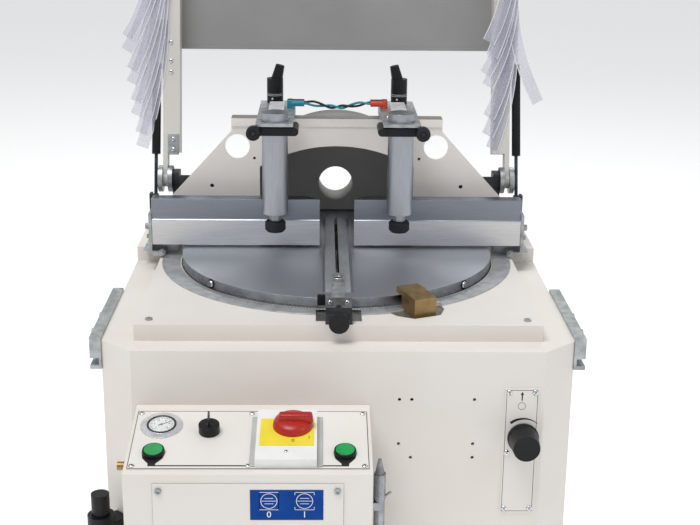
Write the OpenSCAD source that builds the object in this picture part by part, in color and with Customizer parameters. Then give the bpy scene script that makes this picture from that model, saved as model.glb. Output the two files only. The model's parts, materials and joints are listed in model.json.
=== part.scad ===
// Upcut crosscut saw with a rotating table, pneumatic clamps and a lifting hood.
// Millimetres, +Z up, the front of the machine faces -Y, origin on the floor under the middle.

/* [Table] */
// Height of the table top above the floor
table_h = 900; // [860:5:940]
// Radius of the rotating table disc
disc_r = 260; // [250:1:265]
// Thickness of the table disc
disc_t = 16; // [14:1:20]
// Width of each strip beside the saw slot
strip_w = 17; // [15:0.5:19]
// Thickness of the slot strips
strip_t = 5; // [4:0.5:6]
// Width of the saw slot
slot_w = 5.5; // [5:0.1:7]
// Open gap between a strip and the side of its channel
channel_gap = 4; // [2:0.5:6]
// Distance from the table axis to the front end of the slot
slot_front = 131; // [128:1:138]
// Distance from the table axis to the rear end of the slot
slot_rear = 214; // [212:1:218]
// Width of the graduated scale ring
scale_w = 30; // [24:1:32]
// Thickness of the scale ring
scale_t = 1.5; // [1:0.1:2]

/* [Cabinet] */
// Width of the cabinet
cab_w = 694; // [690:1:720]
// Distance from the table axis to the cabinet front
cab_front = 377; // [374:1:390]
// Distance from the table axis to the cabinet back
cab_rear = 345; // [342:1:365]
// Width of the bevelled front corners
bevel_x = 48; // [40:1:54]
// Depth of the bevelled front corners
bevel_y = 44; // [36:1:50]
// Sheet thickness of the cabinet
sheet_t = 3; // [2:0.5:4]
// Depth of the rim ledge below the table top
rim_drop = 41; // [36:1:46]
// Section of the base frame tubes
tube_w = 50; // [40:1:60]
// Height of the levelling feet
foot_h = 30; // [25:1:40]
// Distance of the raised deck from the cabinet sides
deck_in = 48; // [44:1:49]
// Distance from the table axis to the deck front
deck_front = 335; // [332:1:340]
// Distance from the table axis to the shoulder where the deck gets wider
shoulder_y = 63; // [58:1:66]

/* [Saw unit] */
// Diameter of the saw blade
blade_d = 350; // [340:1:352]
// Thickness of the saw blade
blade_t = 3.2; // [2.8:0.1:3.6]
// Distance from the table axis back to the arm pivot
pivot_y = 240; // [238:1:244]
// Depth of the arm pivot below the table top
pivot_drop = 150; // [146:1:156]
// Distance from the arm pivot to the blade spindle
arm_len = 222; // [218:1:224]
// Angle of the lowered arm below the horizontal
arm_dip = 10.4; // [10:0.1:12]
// Swing of the arm from lowered to raised
arm_swing = 33.7; // [30:0.1:34]
// Diameter of the motor
motor_d = 120; // [100:1:124]
// Length of the motor
motor_l = 130; // [110:1:134]
// Outside diameter of the lift cylinder
lift_d = 36; // [32:1:38]

/* [Fence and bridge] */
// Distance from the table axis to the inner end of each fence
fence_in = 29; // [27:1:34]
// Distance from the table axis to the outer end of each fence
fence_out = 313; // [308:1:318]
// Distance from the table axis to the fence face
fence_y = 6; // [4:1:8]
// Depth of the fence
fence_d = 27; // [24:1:29]
// Gap between the table and the fence
fence_lift = 5; // [4:0.5:7]
// Height of the fence
fence_h = 79.5; // [70:0.5:84]
// Height of the ridge line on the fence face
ridge_h = 43; // [36:1:48]
// Distance from the table axis to the bridge panel
arch_y = 80; // [78:1:82]
// Thickness of the bridge panel
arch_t = 4; // [3:0.5:5]
// Height of the bridge top above the table
arch_top = 209; // [204:1:214]
// Width of the bridge at its top
arch_top_w = 362; // [350:1:372]
// Width of the opening in the bridge
arch_open_w = 266; // [258:1:274]
// Height where the opening's arc starts
arch_spring = 124; // [118:1:128]
// Height of the opening's arc
arch_rise = 37; // [30:1:40]
// Inside radius of the rear hood
rear_r = 168; // [164:1:172]
// Outside diameter of the dust spigot
spigot_d = 67; // [60:1:80]

/* [Clamps] */
// Distance of each clamp from the middle
clamp_x = 102; // [98:1:106]
// Distance of the clamps in front of the table axis
clamp_y = 48; // [44:1:52]
// Diameter of the clamp barrels
barrel_d = 42; // [38:1:44]
// Height of the barrel's lower end above the table
barrel_z = 76; // [74:1:80]
// Stroke of the clamps
clamp_stroke = 40; // [30:1:43]
// Diameter of the clamp rods
rod_d = 12; // [10:1:14]
// Diameter of the rubber clamp feet
pad_d = 34; // [30:1:36]
// Height of the rubber clamp feet
pad_h = 19; // [16:1:20]
// Width of the clamp arms
clamp_arm_w = 60; // [54:1:62]
// Thickness of the clamp arms
clamp_arm_t = 21; // [18:1:24]

/* [Hood] */
// Height of the hood pivot above the table
hood_z = 98; // [98:1:104]
// Backward lean of the raised hood
hood_lean = 15; // [13:1:18]
// Distance of the hood arms' inner faces from the middle
arm_in = 272; // [272:1:276]
// Width of the hood arms
arm_w = 29; // [26:1:30]
// Length of the hood arms beyond the pivot
hood_len = 476; // [456:1:490]
// Distance from the pivot to the lower edge of the hood sheet
sheet_start = 235; // [230:1:240]
// Diameter of the gas strut barrels
strut_d = 15; // [13:1:16]
// Diameter of the gas strut rods
strut_rod_d = 6; // [5:0.5:8]
// Length of the curtain strips
curtain_l = 222; // [190:1:224]
// Width of a curtain strip
curtain_w = 22; // [20:1:25]
// Sideways lean of the wider hanging curtain strips
curtain_lean = 18; // [14:1:20]

/* [Controls] */
// Left side of the control box from the middle
box_left = 292; // [286:1:298]
// Width of the control box
box_w = 337; // [330:1:350]
// Depth of the control box
box_d = 158; // [150:1:165]
// Depth below the table of the box top at its rear
box_drop = 123; // [118:1:130]
// Drop of the box top from rear to front
box_slope = 33; // [28:1:38]
// Height of the control box at its front
box_h = 300; // [280:1:330]
// Diameter of the push buttons
button_d = 30; // [26:1:32]
// Distance of the push buttons from the sides of the box
button_in = 37.5; // [35:0.5:38.5]
// Diameter of the pressure gauge
gauge_d = 60; // [54:1:64]

/* [Hidden] */
$fn = 48;

// Running clearance of a pin in its hole, free gap between pieces, and overlap used only inside one solid
fit = 0.05;
gap = 0.4;
eps = 0.01;

half_w = cab_w / 2;
deck_w = cab_w - 2 * deck_in;
front_z = -rim_drop;
deck_z = -disc_t;
floor_z = -table_h;
cover_t = 2;
screw_h = 3;
front_reach = cab_front + box_d + cover_t + screw_h;
rear_reach = cab_rear + cover_t + screw_h;
table_y = (front_reach - rear_reach) / 2;

module at_table() {
    translate([0, table_y, table_h]) children();
}

module both_sides() {
    children();
    mirror([1, 0, 0]) children();
}

// A cylinder along Y that starts at the given point and runs backwards
module y_rod(p, d, l) {
    translate(p) rotate([-90, 0, 0]) cylinder(d = d, h = l);
}

// A cylinder along X that starts at the given point and runs to the right
module x_rod(p, d, l) {
    translate(p) rotate([0, 90, 0]) cylinder(d = d, h = l);
}

// A screw head with a socket, standing on the XY plane
module screw_head(d, h) {
    difference() {
        cylinder(d = d, h = h);
        translate([0, 0, h / 2]) cylinder(d = d / 2, h = h, $fn = 6);
    }
}

// A hexagon bolt head with a washer, standing on the XY plane
module hex_head(d, h) {
    cylinder(d = d * 1.25, h = h / 4);
    cylinder(d = d, h = h, $fn = 6);
}

module cabinet_plan(inset = 0) {
    b = inset * 0.42;
    polygon([
        [-half_w + bevel_x + b, -cab_front + inset], [half_w - bevel_x - b, -cab_front + inset],
        [half_w - inset, -cab_front + bevel_y + b], [half_w - inset, cab_rear - inset],
        [-half_w + inset, cab_rear - inset], [-half_w + inset, -cab_front + bevel_y + b]
    ]);
}

// Base frame: four welded tubes with corner plates for the feet and the floor anchors
frame_z = floor_z + foot_h;
anchor_d = 14;
anchor_x = half_w - 70;
anchor_y = (cab_front + cab_rear) / 2 - 90;
frame_mid_y = (cab_rear - cab_front) / 2;
plate_w = 70;
plate_t = 8;
foot_in = 47;
stud_d = 12;

module corner_places(dx, dy) {
    for (sx = [-1, 1], sy = [-1, 1]) translate([sx * dx, frame_mid_y + sy * dy, frame_z]) children();
}

module base_frame() color([0.16, 0.16, 0.17]) at_table() {
    x = half_w - bevel_x - 4;
    y0 = -cab_front + sheet_t + gap;
    y1 = cab_rear - sheet_t - gap;
    difference() {
        union() {
            for (s = [-1, 1]) translate([s > 0 ? x - tube_w : -x, y0, frame_z])
                cube([tube_w, y1 - y0, tube_w]);
            for (y = [y0, y1 - tube_w]) translate([-x, y, frame_z]) cube([2 * x, tube_w, tube_w]);
            corner_places(anchor_x - foot_in, anchor_y - foot_in)
                translate([-plate_w, -plate_w, 0]) cube([2 * plate_w, 2 * plate_w, plate_t]);
        }
        corner_places(anchor_x - 2 * foot_in, anchor_y)
            translate([0, 0, -eps]) cylinder(d = anchor_d, h = tube_w);
        corner_places(anchor_x - foot_in, anchor_y - foot_in)
            translate([0, 0, -eps]) cylinder(d = stud_d + 2 * fit, h = tube_w);
    }
}

module levelling_feet() color([0.1, 0.1, 0.1]) at_table() {
    corner_places(anchor_x - foot_in, anchor_y - foot_in) {
        translate([0, 0, -foot_h]) cylinder(d = 62, h = 10);
        translate([0, 0, -foot_h + 10 - eps]) cylinder(d1 = 44, d2 = 22, h = 12);
        translate([0, 0, -foot_h]) cylinder(d = stud_d, h = foot_h + plate_t + 22);
        translate([0, 0, plate_t]) cylinder(d = 22, h = 10, $fn = 6);
    }
}

// Cabinet shell: bent sheet, open below and at the back, with a rim ledge for the deck
shell_z = frame_z + 12;
shell_h = front_z - shell_z;
cover_w = 480;
cover_h = 560;
cover_z = shell_z + 130;
cover_lap = 16;
vents = 8;
vent_w = 260;
rim_w = 70;
face_holes = [[88, -115], [106, -115], [197, -115], [88, -185], [197, -185], [106, -207], [197, -207]];
face_hole_d = 5;
rail_bolt_ys = [-300, -140];
rail_bolt_z = -60;
rail_bolt_d = 8;

module cabinet_shell() color([0.9, 0.88, 0.83]) at_table() difference() {
    union() {
        difference() {
            translate([0, 0, shell_z]) linear_extrude(shell_h) cabinet_plan();
            translate([0, 0, shell_z - eps]) linear_extrude(shell_h - sheet_t + eps) cabinet_plan(sheet_t);
            translate([0, 0, front_z - 2 * sheet_t]) linear_extrude(4 * sheet_t) intersection() {
                cabinet_plan(sheet_t);
                translate([-deck_w / 2 + 6, -deck_front + 6])
                    square([deck_w - 12, deck_front + cab_rear - rim_w / 2]);
            }
        }
        // Lower lip that stands on the base frame
        translate([0, 0, frame_z + tube_w]) linear_extrude(sheet_t) difference() {
            cabinet_plan(sheet_t - eps);
            translate([-half_w + bevel_x + 6, -cab_front + 40])
                square([2 * (half_w - bevel_x - 6), cab_front + cab_rear - 80]);
        }
    }
    translate([-cover_w / 2, cab_rear - 2 * sheet_t, cover_z]) cube([cover_w, 4 * sheet_t, cover_h]);
    y_rod([speed_knob_at[0], -cab_front - eps, speed_knob_at[1]], speed_shaft_d + 2, 2 * sheet_t);
    for (p = face_holes) y_rod([p[0], -cab_front - eps, p[1]], face_hole_d, 2 * sheet_t);
    for (y = rail_bolt_ys) x_rod([-half_w - eps, y, rail_bolt_z], rail_bolt_d, cab_w + 2 * eps);
}

module rear_cover() color([0.88, 0.86, 0.81]) at_table() {
    w = cover_w + 2 * cover_lap;
    h = cover_h + 2 * cover_lap;
    difference() {
        translate([-w / 2, cab_rear, cover_z - cover_lap]) cube([w, cover_t, h]);
        for (i = [0:vents - 1]) translate([-vent_w / 2, cab_rear - eps, cover_z + 40 + 22 * i])
            cube([vent_w, 2 * cover_t, 8]);
    }
    for (sx = [-1, 1], z = [8, h / 2, h - 8]) {
        translate([sx * (w / 2 - 8), cab_rear + cover_t, cover_z - cover_lap + z])
            rotate([-90, 0, 0]) screw_head(10, screw_h);
    }
}

// Raised deck with the round table opening and its two notches
notch_x = 34;
notch_y = 318;
shoe_az = 24;
shoe_w = 36;
deck_gap = 2;
ring_in = disc_r - 22;
ring_t = 17;

module at_shoe() {
    rotate([0, 0, shoe_az]) children();
}

module shoe_notch() {
    at_shoe() polygon([
        [-46, -disc_r - 20], [46, -disc_r - 20], [40, -disc_r - 44],
        [shoe_w / 2 + 4, -disc_r - 66], [-shoe_w / 2 - 4, -disc_r - 66], [-40, -disc_r - 44]
    ]);
}

module deck_plan(inset = 0) {
    translate([-deck_w / 2 + inset, -deck_front + inset])
        square([deck_w - 2 * inset, deck_front + cab_rear - 2 * inset]);
    translate([-half_w + inset, shoulder_y + inset])
        square([cab_w - 2 * inset, cab_rear - shoulder_y - 2 * inset]);
}

module top_deck() color([0.92, 0.9, 0.85]) at_table() difference() {
    translate([0, 0, front_z]) linear_extrude(deck_z - front_z) deck_plan();
    translate([0, 0, front_z - eps]) linear_extrude(deck_z - front_z - sheet_t + eps) deck_plan(sheet_t);
    translate([0, 0, front_z]) cylinder(r = disc_r + deck_gap, h = 2 * rim_drop);
    translate([0, 0, deck_z - 2 * sheet_t]) linear_extrude(4 * sheet_t) {
        translate([-notch_x, -notch_y]) square([2 * notch_x, notch_y - disc_r]);
        translate([-block_w / 2 - gap, -block_y - gap]) square([block_w + 2 * gap, block_l]);
        shoe_notch();
    }
}

// Bearing ring under the deck: the disc lies on its inner ledge
module table_ring() color([0.3, 0.3, 0.32]) at_table() {
    difference() {
        union() {
            translate([0, 0, deck_z - sheet_t - ring_t]) cylinder(r = disc_r + 34, h = ring_t);
            translate([0, 0, deck_z - sheet_t - eps]) cylinder(r = disc_r - 2, h = sheet_t + eps);
            translate([-notch_x, -deck_front + sheet_t + gap, deck_z - sheet_t - ring_t])
                cube([2 * notch_x, 60, ring_t]);
            translate([0, 0, deck_z - sheet_t - ring_t]) linear_extrude(ring_t) shoe_notch();
        }
        translate([0, 0, deck_z - sheet_t - ring_t - eps]) cylinder(r = ring_in, h = 3 * ring_t);
    }
}

module scale_ring() color([0.72, 0.74, 0.76]) at_table() translate([0, 0, deck_z]) difference() {
    cylinder(r = disc_r + 4 + scale_w, h = scale_t);
    translate([0, 0, -eps]) cylinder(r = disc_r + 4, h = 2 * scale_t);
    translate([-notch_x, -notch_y, -eps]) cube([2 * notch_x, notch_y - disc_r - 8, 2 * scale_t]);
    translate([0, 0, -eps]) linear_extrude(2 * scale_t) shoe_notch();
    translate([-disc_r - 100, shoulder_y - 25, -eps]) cube([2 * disc_r + 200, disc_r + 100, 2 * scale_t]);
}

// Accessory rails on the cabinet sides
rail_front = -336;
rail_l = 232;
rail_top = -36;
rail_h = 49;
rail_w = 17;

module side_rails() color([0.55, 0.56, 0.58]) at_table() both_sides() difference() {
    translate([half_w, rail_front, rail_top - rail_h]) cube([rail_w, rail_l, rail_h]);
    translate([half_w + 4, rail_front - eps, rail_top - rail_h + 6]) cube([rail_w, rail_l + 1, 11]);
    for (y = rail_bolt_ys) x_rod([half_w - eps, y, rail_bolt_z], rail_bolt_d, 2 * rail_w);
}

module fasteners() color([0.75, 0.76, 0.78]) at_table() both_sides() {
    translate([deck_w / 2 - 20, -deck_front + 22, deck_z]) screw_head(11, 2.5);
    for (y = [rail_front + 60, rail_front + 132])
        translate([half_w + rail_w, y, rail_top - 12]) rotate([0, 90, 0]) hex_head(11, 6);
    for (z = [-120, -180])
        translate([half_w, -cab_front + bevel_y + 60, z]) rotate([0, 90, 0]) hex_head(11, 6);
}

// Turntable disc with the channel for the slot strips
channel_w = 2 * (strip_w + channel_gap) + slot_w;
channel_front = slot_front + 100;
channel_rear = slot_rear + 18;
well_w = slot_w + strip_w;
skirt_bolt_az = 50;

module table_disc() color([0.62, 0.64, 0.67]) at_table() {
    difference() {
        translate([0, 0, -disc_t]) cylinder(r = disc_r, h = disc_t, $fn = 96);
        translate([-channel_w / 2, -channel_front, -strip_t])
            cube([channel_w, channel_front + channel_rear, strip_t + 1]);
        translate([-well_w / 2, -slot_front - 6, -disc_t - 1])
            cube([well_w, slot_front + slot_rear + 6, disc_t + 2]);
    }
    for (s = [-1, 1]) rotate([0, 0, s * skirt_bolt_az]) translate([0, -disc_r + 1, -disc_t / 2])
        rotate([90, 0, 0]) hex_head(9, 6);
}

module slot_strips() color([0.58, 0.6, 0.62]) at_table() {
    for (s = [0, 1]) mirror([s, 0, 0])
        translate([slot_w / 2, -channel_front, -strip_t])
            cube([strip_w, channel_front + channel_rear, strip_t]);
}

// Zinc index plate on the front of the disc, with its screw and the black pointer
plate_y = disc_r + 1;
tab_w = 20;
tab_t = 2.5;
tab_l = 120;

module index_plate() color([0.6, 0.63, 0.63]) at_table() {
    translate([-tab_w / 2, -plate_y, 0]) cube([tab_w, tab_l, tab_t]);
    translate([0, -disc_r + 79, tab_t]) screw_head(16, 5);
    difference() {
        translate([-20, -plate_y - 3, deck_z + scale_t + 1]) cube([40, 3, -deck_z - scale_t - 1 + tab_t]);
        for (x = [-13, 13]) y_rod([x, -plate_y - 4, -5], 4, 6);
    }
    translate([-31, -plate_y - 3, deck_z + scale_t + 1]) cube([11, 5, -deck_z - scale_t + tab_t - 1]);
}

// Side views are drawn as (y, z) shapes and given a thickness along X
module slab(x, t) {
    translate([x, 0, 0]) rotate([90, 0, 90]) linear_extrude(t) children();
}

// Straight bar between two points of a side view
module bar(a, b, w) {
    d = b - a;
    n = [-d[1], d[0]] * w / 2 / norm(d);
    polygon([a + n, a - n, b - n, b + n]);
}

pivot_c = [pivot_y, -pivot_drop];
spindle_c = pivot_c - arm_len * [cos(arm_dip), sin(arm_dip)];
motor_c = pivot_c + [-70, -190];
shaft_d = 30;
spindle_d = 24;
arm_x = 12;
arm_t = 12;
housing_l = 40;
pulley_x = 66;
pulley_w = 18;
pulley_d = 80;
belt_t = 4;
motor_x = 88;

// Lift cylinder: its rod pushes a pin on the arm's lever that slides in a slotted eye
lift_x = -44;
lift_eye_w = 16;
lever_t = 8;
lever_w = 44;
lever_x = lift_x + lift_eye_w / 2 + 2;
lift_r = 130;
lift_y = pivot_y - lift_r * cos(arm_swing / 2);
lift_low = -pivot_drop - lift_r * sin(arm_swing / 2);
lift_c = [lift_y, lift_low];
lift_pin_d = 14;
lift_rod_d = 14;
lift_drop = 60;
lift_tube_l = 270;
lift_base = lift_low - lift_drop - lift_tube_l;
shelf_t = 12;
hanger_x = 62;
hanger_t = 12;
back_y = 272;
back_top = -90;

module saw_frame() color([0.28, 0.29, 0.31]) at_table() {
    // Two hangers under the disc, joined by a back plate and a shelf
    difference() {
        for (x = [-hanger_x, hanger_x - hanger_t]) slab(x, hanger_t) union() {
            polygon([
                [130, -disc_t], [ring_in - 12, -disc_t], [ring_in - 12, -60], [back_y, back_top],
                [back_y, back_top - 100], [pivot_y - 30, back_top - 100], [pivot_y - 30, back_top],
                [130, -50]
            ]);
            translate(pivot_c) circle(r = 32);
        }
        x_rod([-90, pivot_c[0], pivot_c[1]], shaft_d + 2 * fit, 180);
    }
    translate([-hanger_x, back_y - eps, lift_base - shelf_t])
        cube([2 * hanger_x, 12, back_top - lift_base + shelf_t]);
    translate([-hanger_x, lift_y - 40, lift_base - shelf_t])
        cube([2 * hanger_x, back_y - lift_y + 40 + 2 * eps, shelf_t]);
    // Lift cylinder standing on the shelf
    difference() {
        translate([lift_x, lift_y, lift_base]) cylinder(d = lift_d, h = lift_tube_l);
        translate([lift_x, lift_y, lift_base + 8]) cylinder(d = lift_rod_d + 2 * fit, h = 400);
    }
    x_rod([-hanger_x - 4, pivot_c[0], pivot_c[1]], shaft_d, 2 * hanger_x + 8);
}

module arm_outline() {
    translate(pivot_c) circle(r = 31);
    translate(spindle_c) circle(r = 36);
    translate(motor_c) circle(r = 58);
    bar(pivot_c, spindle_c, 56);
    bar(pivot_c, motor_c, 60);
}

module saw_arm() color([0.33, 0.35, 0.38]) at_table() {
    difference() {
        union() {
            slab(arm_x, arm_t) arm_outline();
            x_rod([arm_x, spindle_c[0], spindle_c[1]], 60, housing_l);
            x_rod([-48, pivot_c[0], pivot_c[1]], 56, 96);
            // Motor foot that reaches out to the motor's end face
            x_rod([arm_x, motor_c[0], motor_c[1]], 60, pulley_x - arm_x - 8);
            // Lever on the far side of the blade with the pin for the lift rod
            slab(lever_x, lever_t) bar(pivot_c, lift_c, lever_w);
            x_rod([lever_x, lift_c[0], lift_c[1]], lever_w - 2, lever_t);
            x_rod([lift_x - lift_eye_w / 2 - 4, lift_c[0], lift_c[1]], lift_pin_d, lever_t + lift_eye_w);
        }
        x_rod([-90, pivot_c[0], pivot_c[1]], shaft_d + 2 * fit, 180);
        x_rod([arm_x - 1, spindle_c[0], spindle_c[1]], spindle_d + 2 * fit, 100);
        x_rod([arm_x - 1, motor_c[0], motor_c[1]], 22, 100);
    }
    // Motor cradle bar behind the pulley plane
    translate([arm_x + arm_t - eps, motor_c[0] + motor_d / 2 - 4, motor_c[1] - 20])
        cube([motor_x + 60 - arm_x - arm_t, 10, 40]);
}

module saw_motor() color([0.25, 0.3, 0.36]) at_table() difference() {
    union() {
        x_rod([motor_x, motor_c[0], motor_c[1]], motor_d - 9, motor_l);
        for (i = [0:5]) x_rod([motor_x + 14 + 19 * i, motor_c[0], motor_c[1]], motor_d - 8.2, 8);
    }
    x_rod([motor_x - 1, motor_c[0], motor_c[1]], 18 + 2 * fit, 40);
}

module drive_belt() color([0.08, 0.08, 0.08]) at_table() slab(pulley_x + 1, pulley_w - 2) difference() {
    belt_shape(pulley_d / 2 + gap + belt_t);
    belt_shape(pulley_d / 2 + gap);
}

module belt_shape(r) {
    translate(spindle_c) circle(r = r);
    translate(motor_c) circle(r = r);
    bar(spindle_c, motor_c, 2 * r);
}

// Blade with its clamping flanges, spindle and driven pulley
module saw_blade() color([0.75, 0.76, 0.78]) at_table() translate([0, spindle_c[0], spindle_c[1]]) {
    teeth = 84;
    difference() {
        x_rod([-blade_t / 2, 0, 0], blade_d, blade_t);
        for (i = [0:teeth / 4 - 1]) rotate([i * 1440 / teeth, 0, 0])
            translate([-blade_t, -2, blade_d / 2 - 7]) cube([2 * blade_t, 4, 10]);
    }
    x_rod([-8, 0, 0], 90, 8 - blade_t / 2);
    x_rod([blade_t / 2, 0, 0], 90, arm_x - 2 - blade_t / 2);
    x_rod([-22, 0, 0], 34, 14);
    x_rod([0, 0, 0], spindle_d, pulley_x + pulley_w + 2);
    x_rod([pulley_x, 0, 0], pulley_d, pulley_w);
}

module motor_pulley() color([0.5, 0.5, 0.52]) at_table() translate([0, motor_c[0], motor_c[1]]) {
    x_rod([pulley_x, 0, 0], pulley_d, pulley_w);
    x_rod([pulley_x, 0, 0], 18, 54);
}

module lift_rod() color([0.8, 0.81, 0.83]) at_table() {
    slack = lift_r * (1 - cos(arm_swing / 2)) + gap;
    difference() {
        union() {
            translate([lift_x, lift_y, lift_low - lift_drop - 90])
                cylinder(d = lift_rod_d, h = lift_drop + 80);
            translate([lift_x - lift_eye_w / 2, lift_y - slack - 16, lift_low - 14])
                cube([lift_eye_w, 2 * slack + 32, 28]);
        }
        translate([lift_x - 20, lift_y - slack - lift_pin_d / 2, lift_low - lift_pin_d / 2 - gap])
            cube([40, 2 * slack + lift_pin_d, lift_pin_d + 2 * gap]);
    }
}

// Index block on the deck with its pull knob, and the brass locking shoe
block_w = 39;
block_y = 332;
block_l = 34;
block_top = -2;
plunger_z = -9;
plunger_d = 8;
knob_d = 30;

module index_block() color([0.1, 0.1, 0.11]) at_table() difference() {
    translate([-block_w / 2, -block_y, deck_z - sheet_t])
        cube([block_w, block_l, block_top - deck_z + sheet_t]);
    y_rod([0, -block_y - 1, plunger_z], plunger_d + 2 * fit, block_l + 2);
}

module index_knob() color([0.07, 0.07, 0.08]) at_table() translate([0, 0, plunger_z]) {
    y_rod([0, -deck_front - 2, 0], plunger_d, deck_front - block_y + block_l + 26);
    y_rod([0, -deck_front - 16, 0], knob_d, 15);
}

shoe_in = disc_r - 3;
shoe_leg = disc_r + 15;
shoe_out = disc_r + 58;
shoe_top = 14;
shoe_lip = tab_t + 2;

module lock_shoe() color([0.72, 0.55, 0.28]) at_table() at_shoe() rotate([0, 0, -90]) rotate([90, 0, 0])
    translate([0, 0, -shoe_w / 2]) linear_extrude(shoe_w) polygon([
        [shoe_in, shoe_lip], [shoe_leg, shoe_lip], [shoe_leg, deck_z + scale_t + gap],
        [shoe_leg + 12, deck_z + scale_t + gap], [shoe_leg + 12, deck_z - sheet_t],
        [shoe_out, deck_z - sheet_t], [shoe_out, shoe_top - 4], [shoe_leg + 8, shoe_top],
        [shoe_in, shoe_top]
    ]);

// Fence: hollow profile with a ridge, bevelled behind the gap so the turned blade stays clear
fence_wall = 4;
fence_top = fence_lift + fence_h;
ridge_step = 2;

module fence_profile() {
    difference() {
        polygon([
            [fence_y, fence_lift], [fence_y + fence_d, fence_lift], [fence_y + fence_d, fence_top],
            [fence_y + ridge_step, fence_top], [fence_y + ridge_step, fence_lift + ridge_h + ridge_step],
            [fence_y, fence_lift + ridge_h]
        ]);
        for (z = [fence_lift + fence_wall, fence_lift + fence_h / 2 + fence_wall / 2])
            translate([fence_y + fence_wall + ridge_step, z])
                square([fence_d - 2 * fence_wall - ridge_step, fence_h / 2 - 1.5 * fence_wall]);
    }
}

module fences() color([0.72, 0.73, 0.75]) at_table() both_sides() difference() {
    slab(fence_in, fence_out - fence_in) fence_profile();
    translate([fence_in, fence_y + 6, 0]) rotate([0, 0, 45])
        translate([-60, 0, -1]) cube([100, 60, fence_top + 2]);
}

// Brackets behind the fence ends on galvanised plates, with adjusting bolts and end plates
bracket_x = fence_out - 42;
bracket_w = 36;

module fence_brackets() color([0.55, 0.56, 0.58]) at_table() both_sides() {
    difference() {
        translate([fence_in, shoulder_y - 24, deck_z]) cube([half_w - 14 - fence_in, 100, scale_t]);
        translate([0, 0, deck_z - eps]) cylinder(r = disc_r + 4, h = 2 * scale_t);
    }
    translate([bracket_x, fence_y + fence_d, deck_z + scale_t]) {
        cube([bracket_w, 12, fence_top - 20 - deck_z]);
        cube([bracket_w, arch_y - fence_y - fence_d, 8]);
    }
    // End plates with a bolt each
    translate([fence_out, fence_y - 2, fence_lift + 10]) cube([5, fence_d + 14, 44]);
    translate([fence_out + 5, fence_y + 10, fence_lift + 30]) rotate([0, 90, 0]) hex_head(11, 7);
    translate([fence_out + 5, fence_y + 10, fence_lift + 12]) rotate([0, 90, 0]) hex_head(8, 5);
    // Foot of the end plate on the deck with the adjusting bolt in front
    translate([fence_out - 22, fence_y - 2, deck_z + scale_t]) cube([27, fence_d + 14, 8.5]);
    translate([fence_out, fence_y - 2, deck_z]) cube([5, fence_d + 14, fence_lift + 10 - deck_z]);
    translate([fence_out - 16, fence_y - 2, deck_z + 8]) rotate([90, 0, 0]) hex_head(9, 10);
}

// Bridge panel: arched opening, two round holes and a flange on top
arch_foot_w = 600;
arch_knee_z = fence_top - 28;
hole_d = 42;
hole_x = arch_top_w / 2 - 10;
hole_z = 160;
lip_h = 14;
side_h = 22;
low_hole = [arch_top_w / 2 + 35, 90];
high_hole = [hole_x - 29, hole_z - 21];
flange_d = 30;

module arch_shape() {
    open_r = (pow(arch_open_w / 2, 2) + pow(arch_rise, 2)) / (2 * arch_rise);
    difference() {
        polygon([
            [-arch_top_w / 2, arch_top], [arch_top_w / 2, arch_top], [arch_top_w / 2, arch_top - side_h],
            [arch_foot_w / 2, arch_knee_z], [arch_foot_w / 2, deck_z + scale_t],
            [-arch_foot_w / 2, deck_z + scale_t], [-arch_foot_w / 2, arch_knee_z],
            [-arch_top_w / 2, arch_top - side_h]
        ]);
        translate([-arch_open_w / 2, -50]) square([arch_open_w, arch_spring + 50]);
        intersection() {
            translate([0, arch_spring + arch_rise - open_r]) circle(r = open_r, $fn = 120);
            translate([-arch_open_w / 2, arch_spring - eps]) square([arch_open_w, 2 * arch_rise]);
        }
        for (s = [-1, 1]) translate([s * hole_x, hole_z]) circle(d = hole_d);
        for (s = [-1, 1]) translate([s * low_hole[0], low_hole[1]]) circle(d = 7);
        for (s = [-1, 1]) translate([s * high_hole[0], high_hole[1]]) circle(d = 5);
    }
}

module arch_panel() color([0.9, 0.88, 0.84]) at_table() difference() {
    union() {
        translate([0, arch_y + arch_t, 0]) rotate([90, 0, 0]) linear_extrude(arch_t) arch_shape();
        translate([-arch_top_w / 2, arch_y - 2, arch_top - lip_h]) cube([arch_top_w, 2 + eps, lip_h]);
        translate([-arch_top_w / 2, arch_y, arch_top - 3]) cube([arch_top_w, flange_d, 3]);
    }
    // Room over the turning disc
    translate([0, 0, deck_z]) cylinder(r = disc_r + 4, h = -deck_z + 3);
}

// Rear hood: arched tunnel behind the bridge, with the dark dust panel and its spigot
hood_end = 270;
panel_y = 256;
spigot_z = 53.5;
spigot_l = 72;
spigot_wall = 2;
rear_base = 2;

module tunnel_shape(r) {
    intersection() {
        union() {
            translate([0, 20]) circle(r = r, $fn = 120);
            translate([-r, -60]) square([2 * r, 80]);
        }
        translate([-300, rear_base]) square([600, 400]);
    }
}

module rear_hood() color([0.72, 0.72, 0.7]) at_table() {
    y0 = arch_y + arch_t;
    translate([0, hood_end, 0]) rotate([90, 0, 0]) linear_extrude(hood_end - y0) difference() {
        tunnel_shape(rear_r + 2);
        tunnel_shape(rear_r);
        translate([-rear_r, -60]) square([2 * rear_r, 80]);
    }
    // Feet on the deck behind the disc
    both_sides() {
        translate([rear_r, hood_end - 26, deck_z]) cube([2, 26, rear_base - deck_z + eps]);
        translate([rear_r, hood_end - 26, deck_z]) cube([22, 26, 3]);
    }
}

module dust_panel() color([0.2, 0.2, 0.2]) at_table() {
    difference() {
        translate([0, panel_y + 2, 0]) rotate([90, 0, 0]) linear_extrude(2) tunnel_shape(rear_r - gap);
        y_rod([0, panel_y - 2, spigot_z], spigot_d, 10);
    }
    difference() {
        y_rod([0, panel_y, spigot_z], spigot_d, spigot_l);
        y_rod([0, panel_y - 1, spigot_z], spigot_d - 2 * spigot_wall, spigot_l + 2);
    }
}

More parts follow.
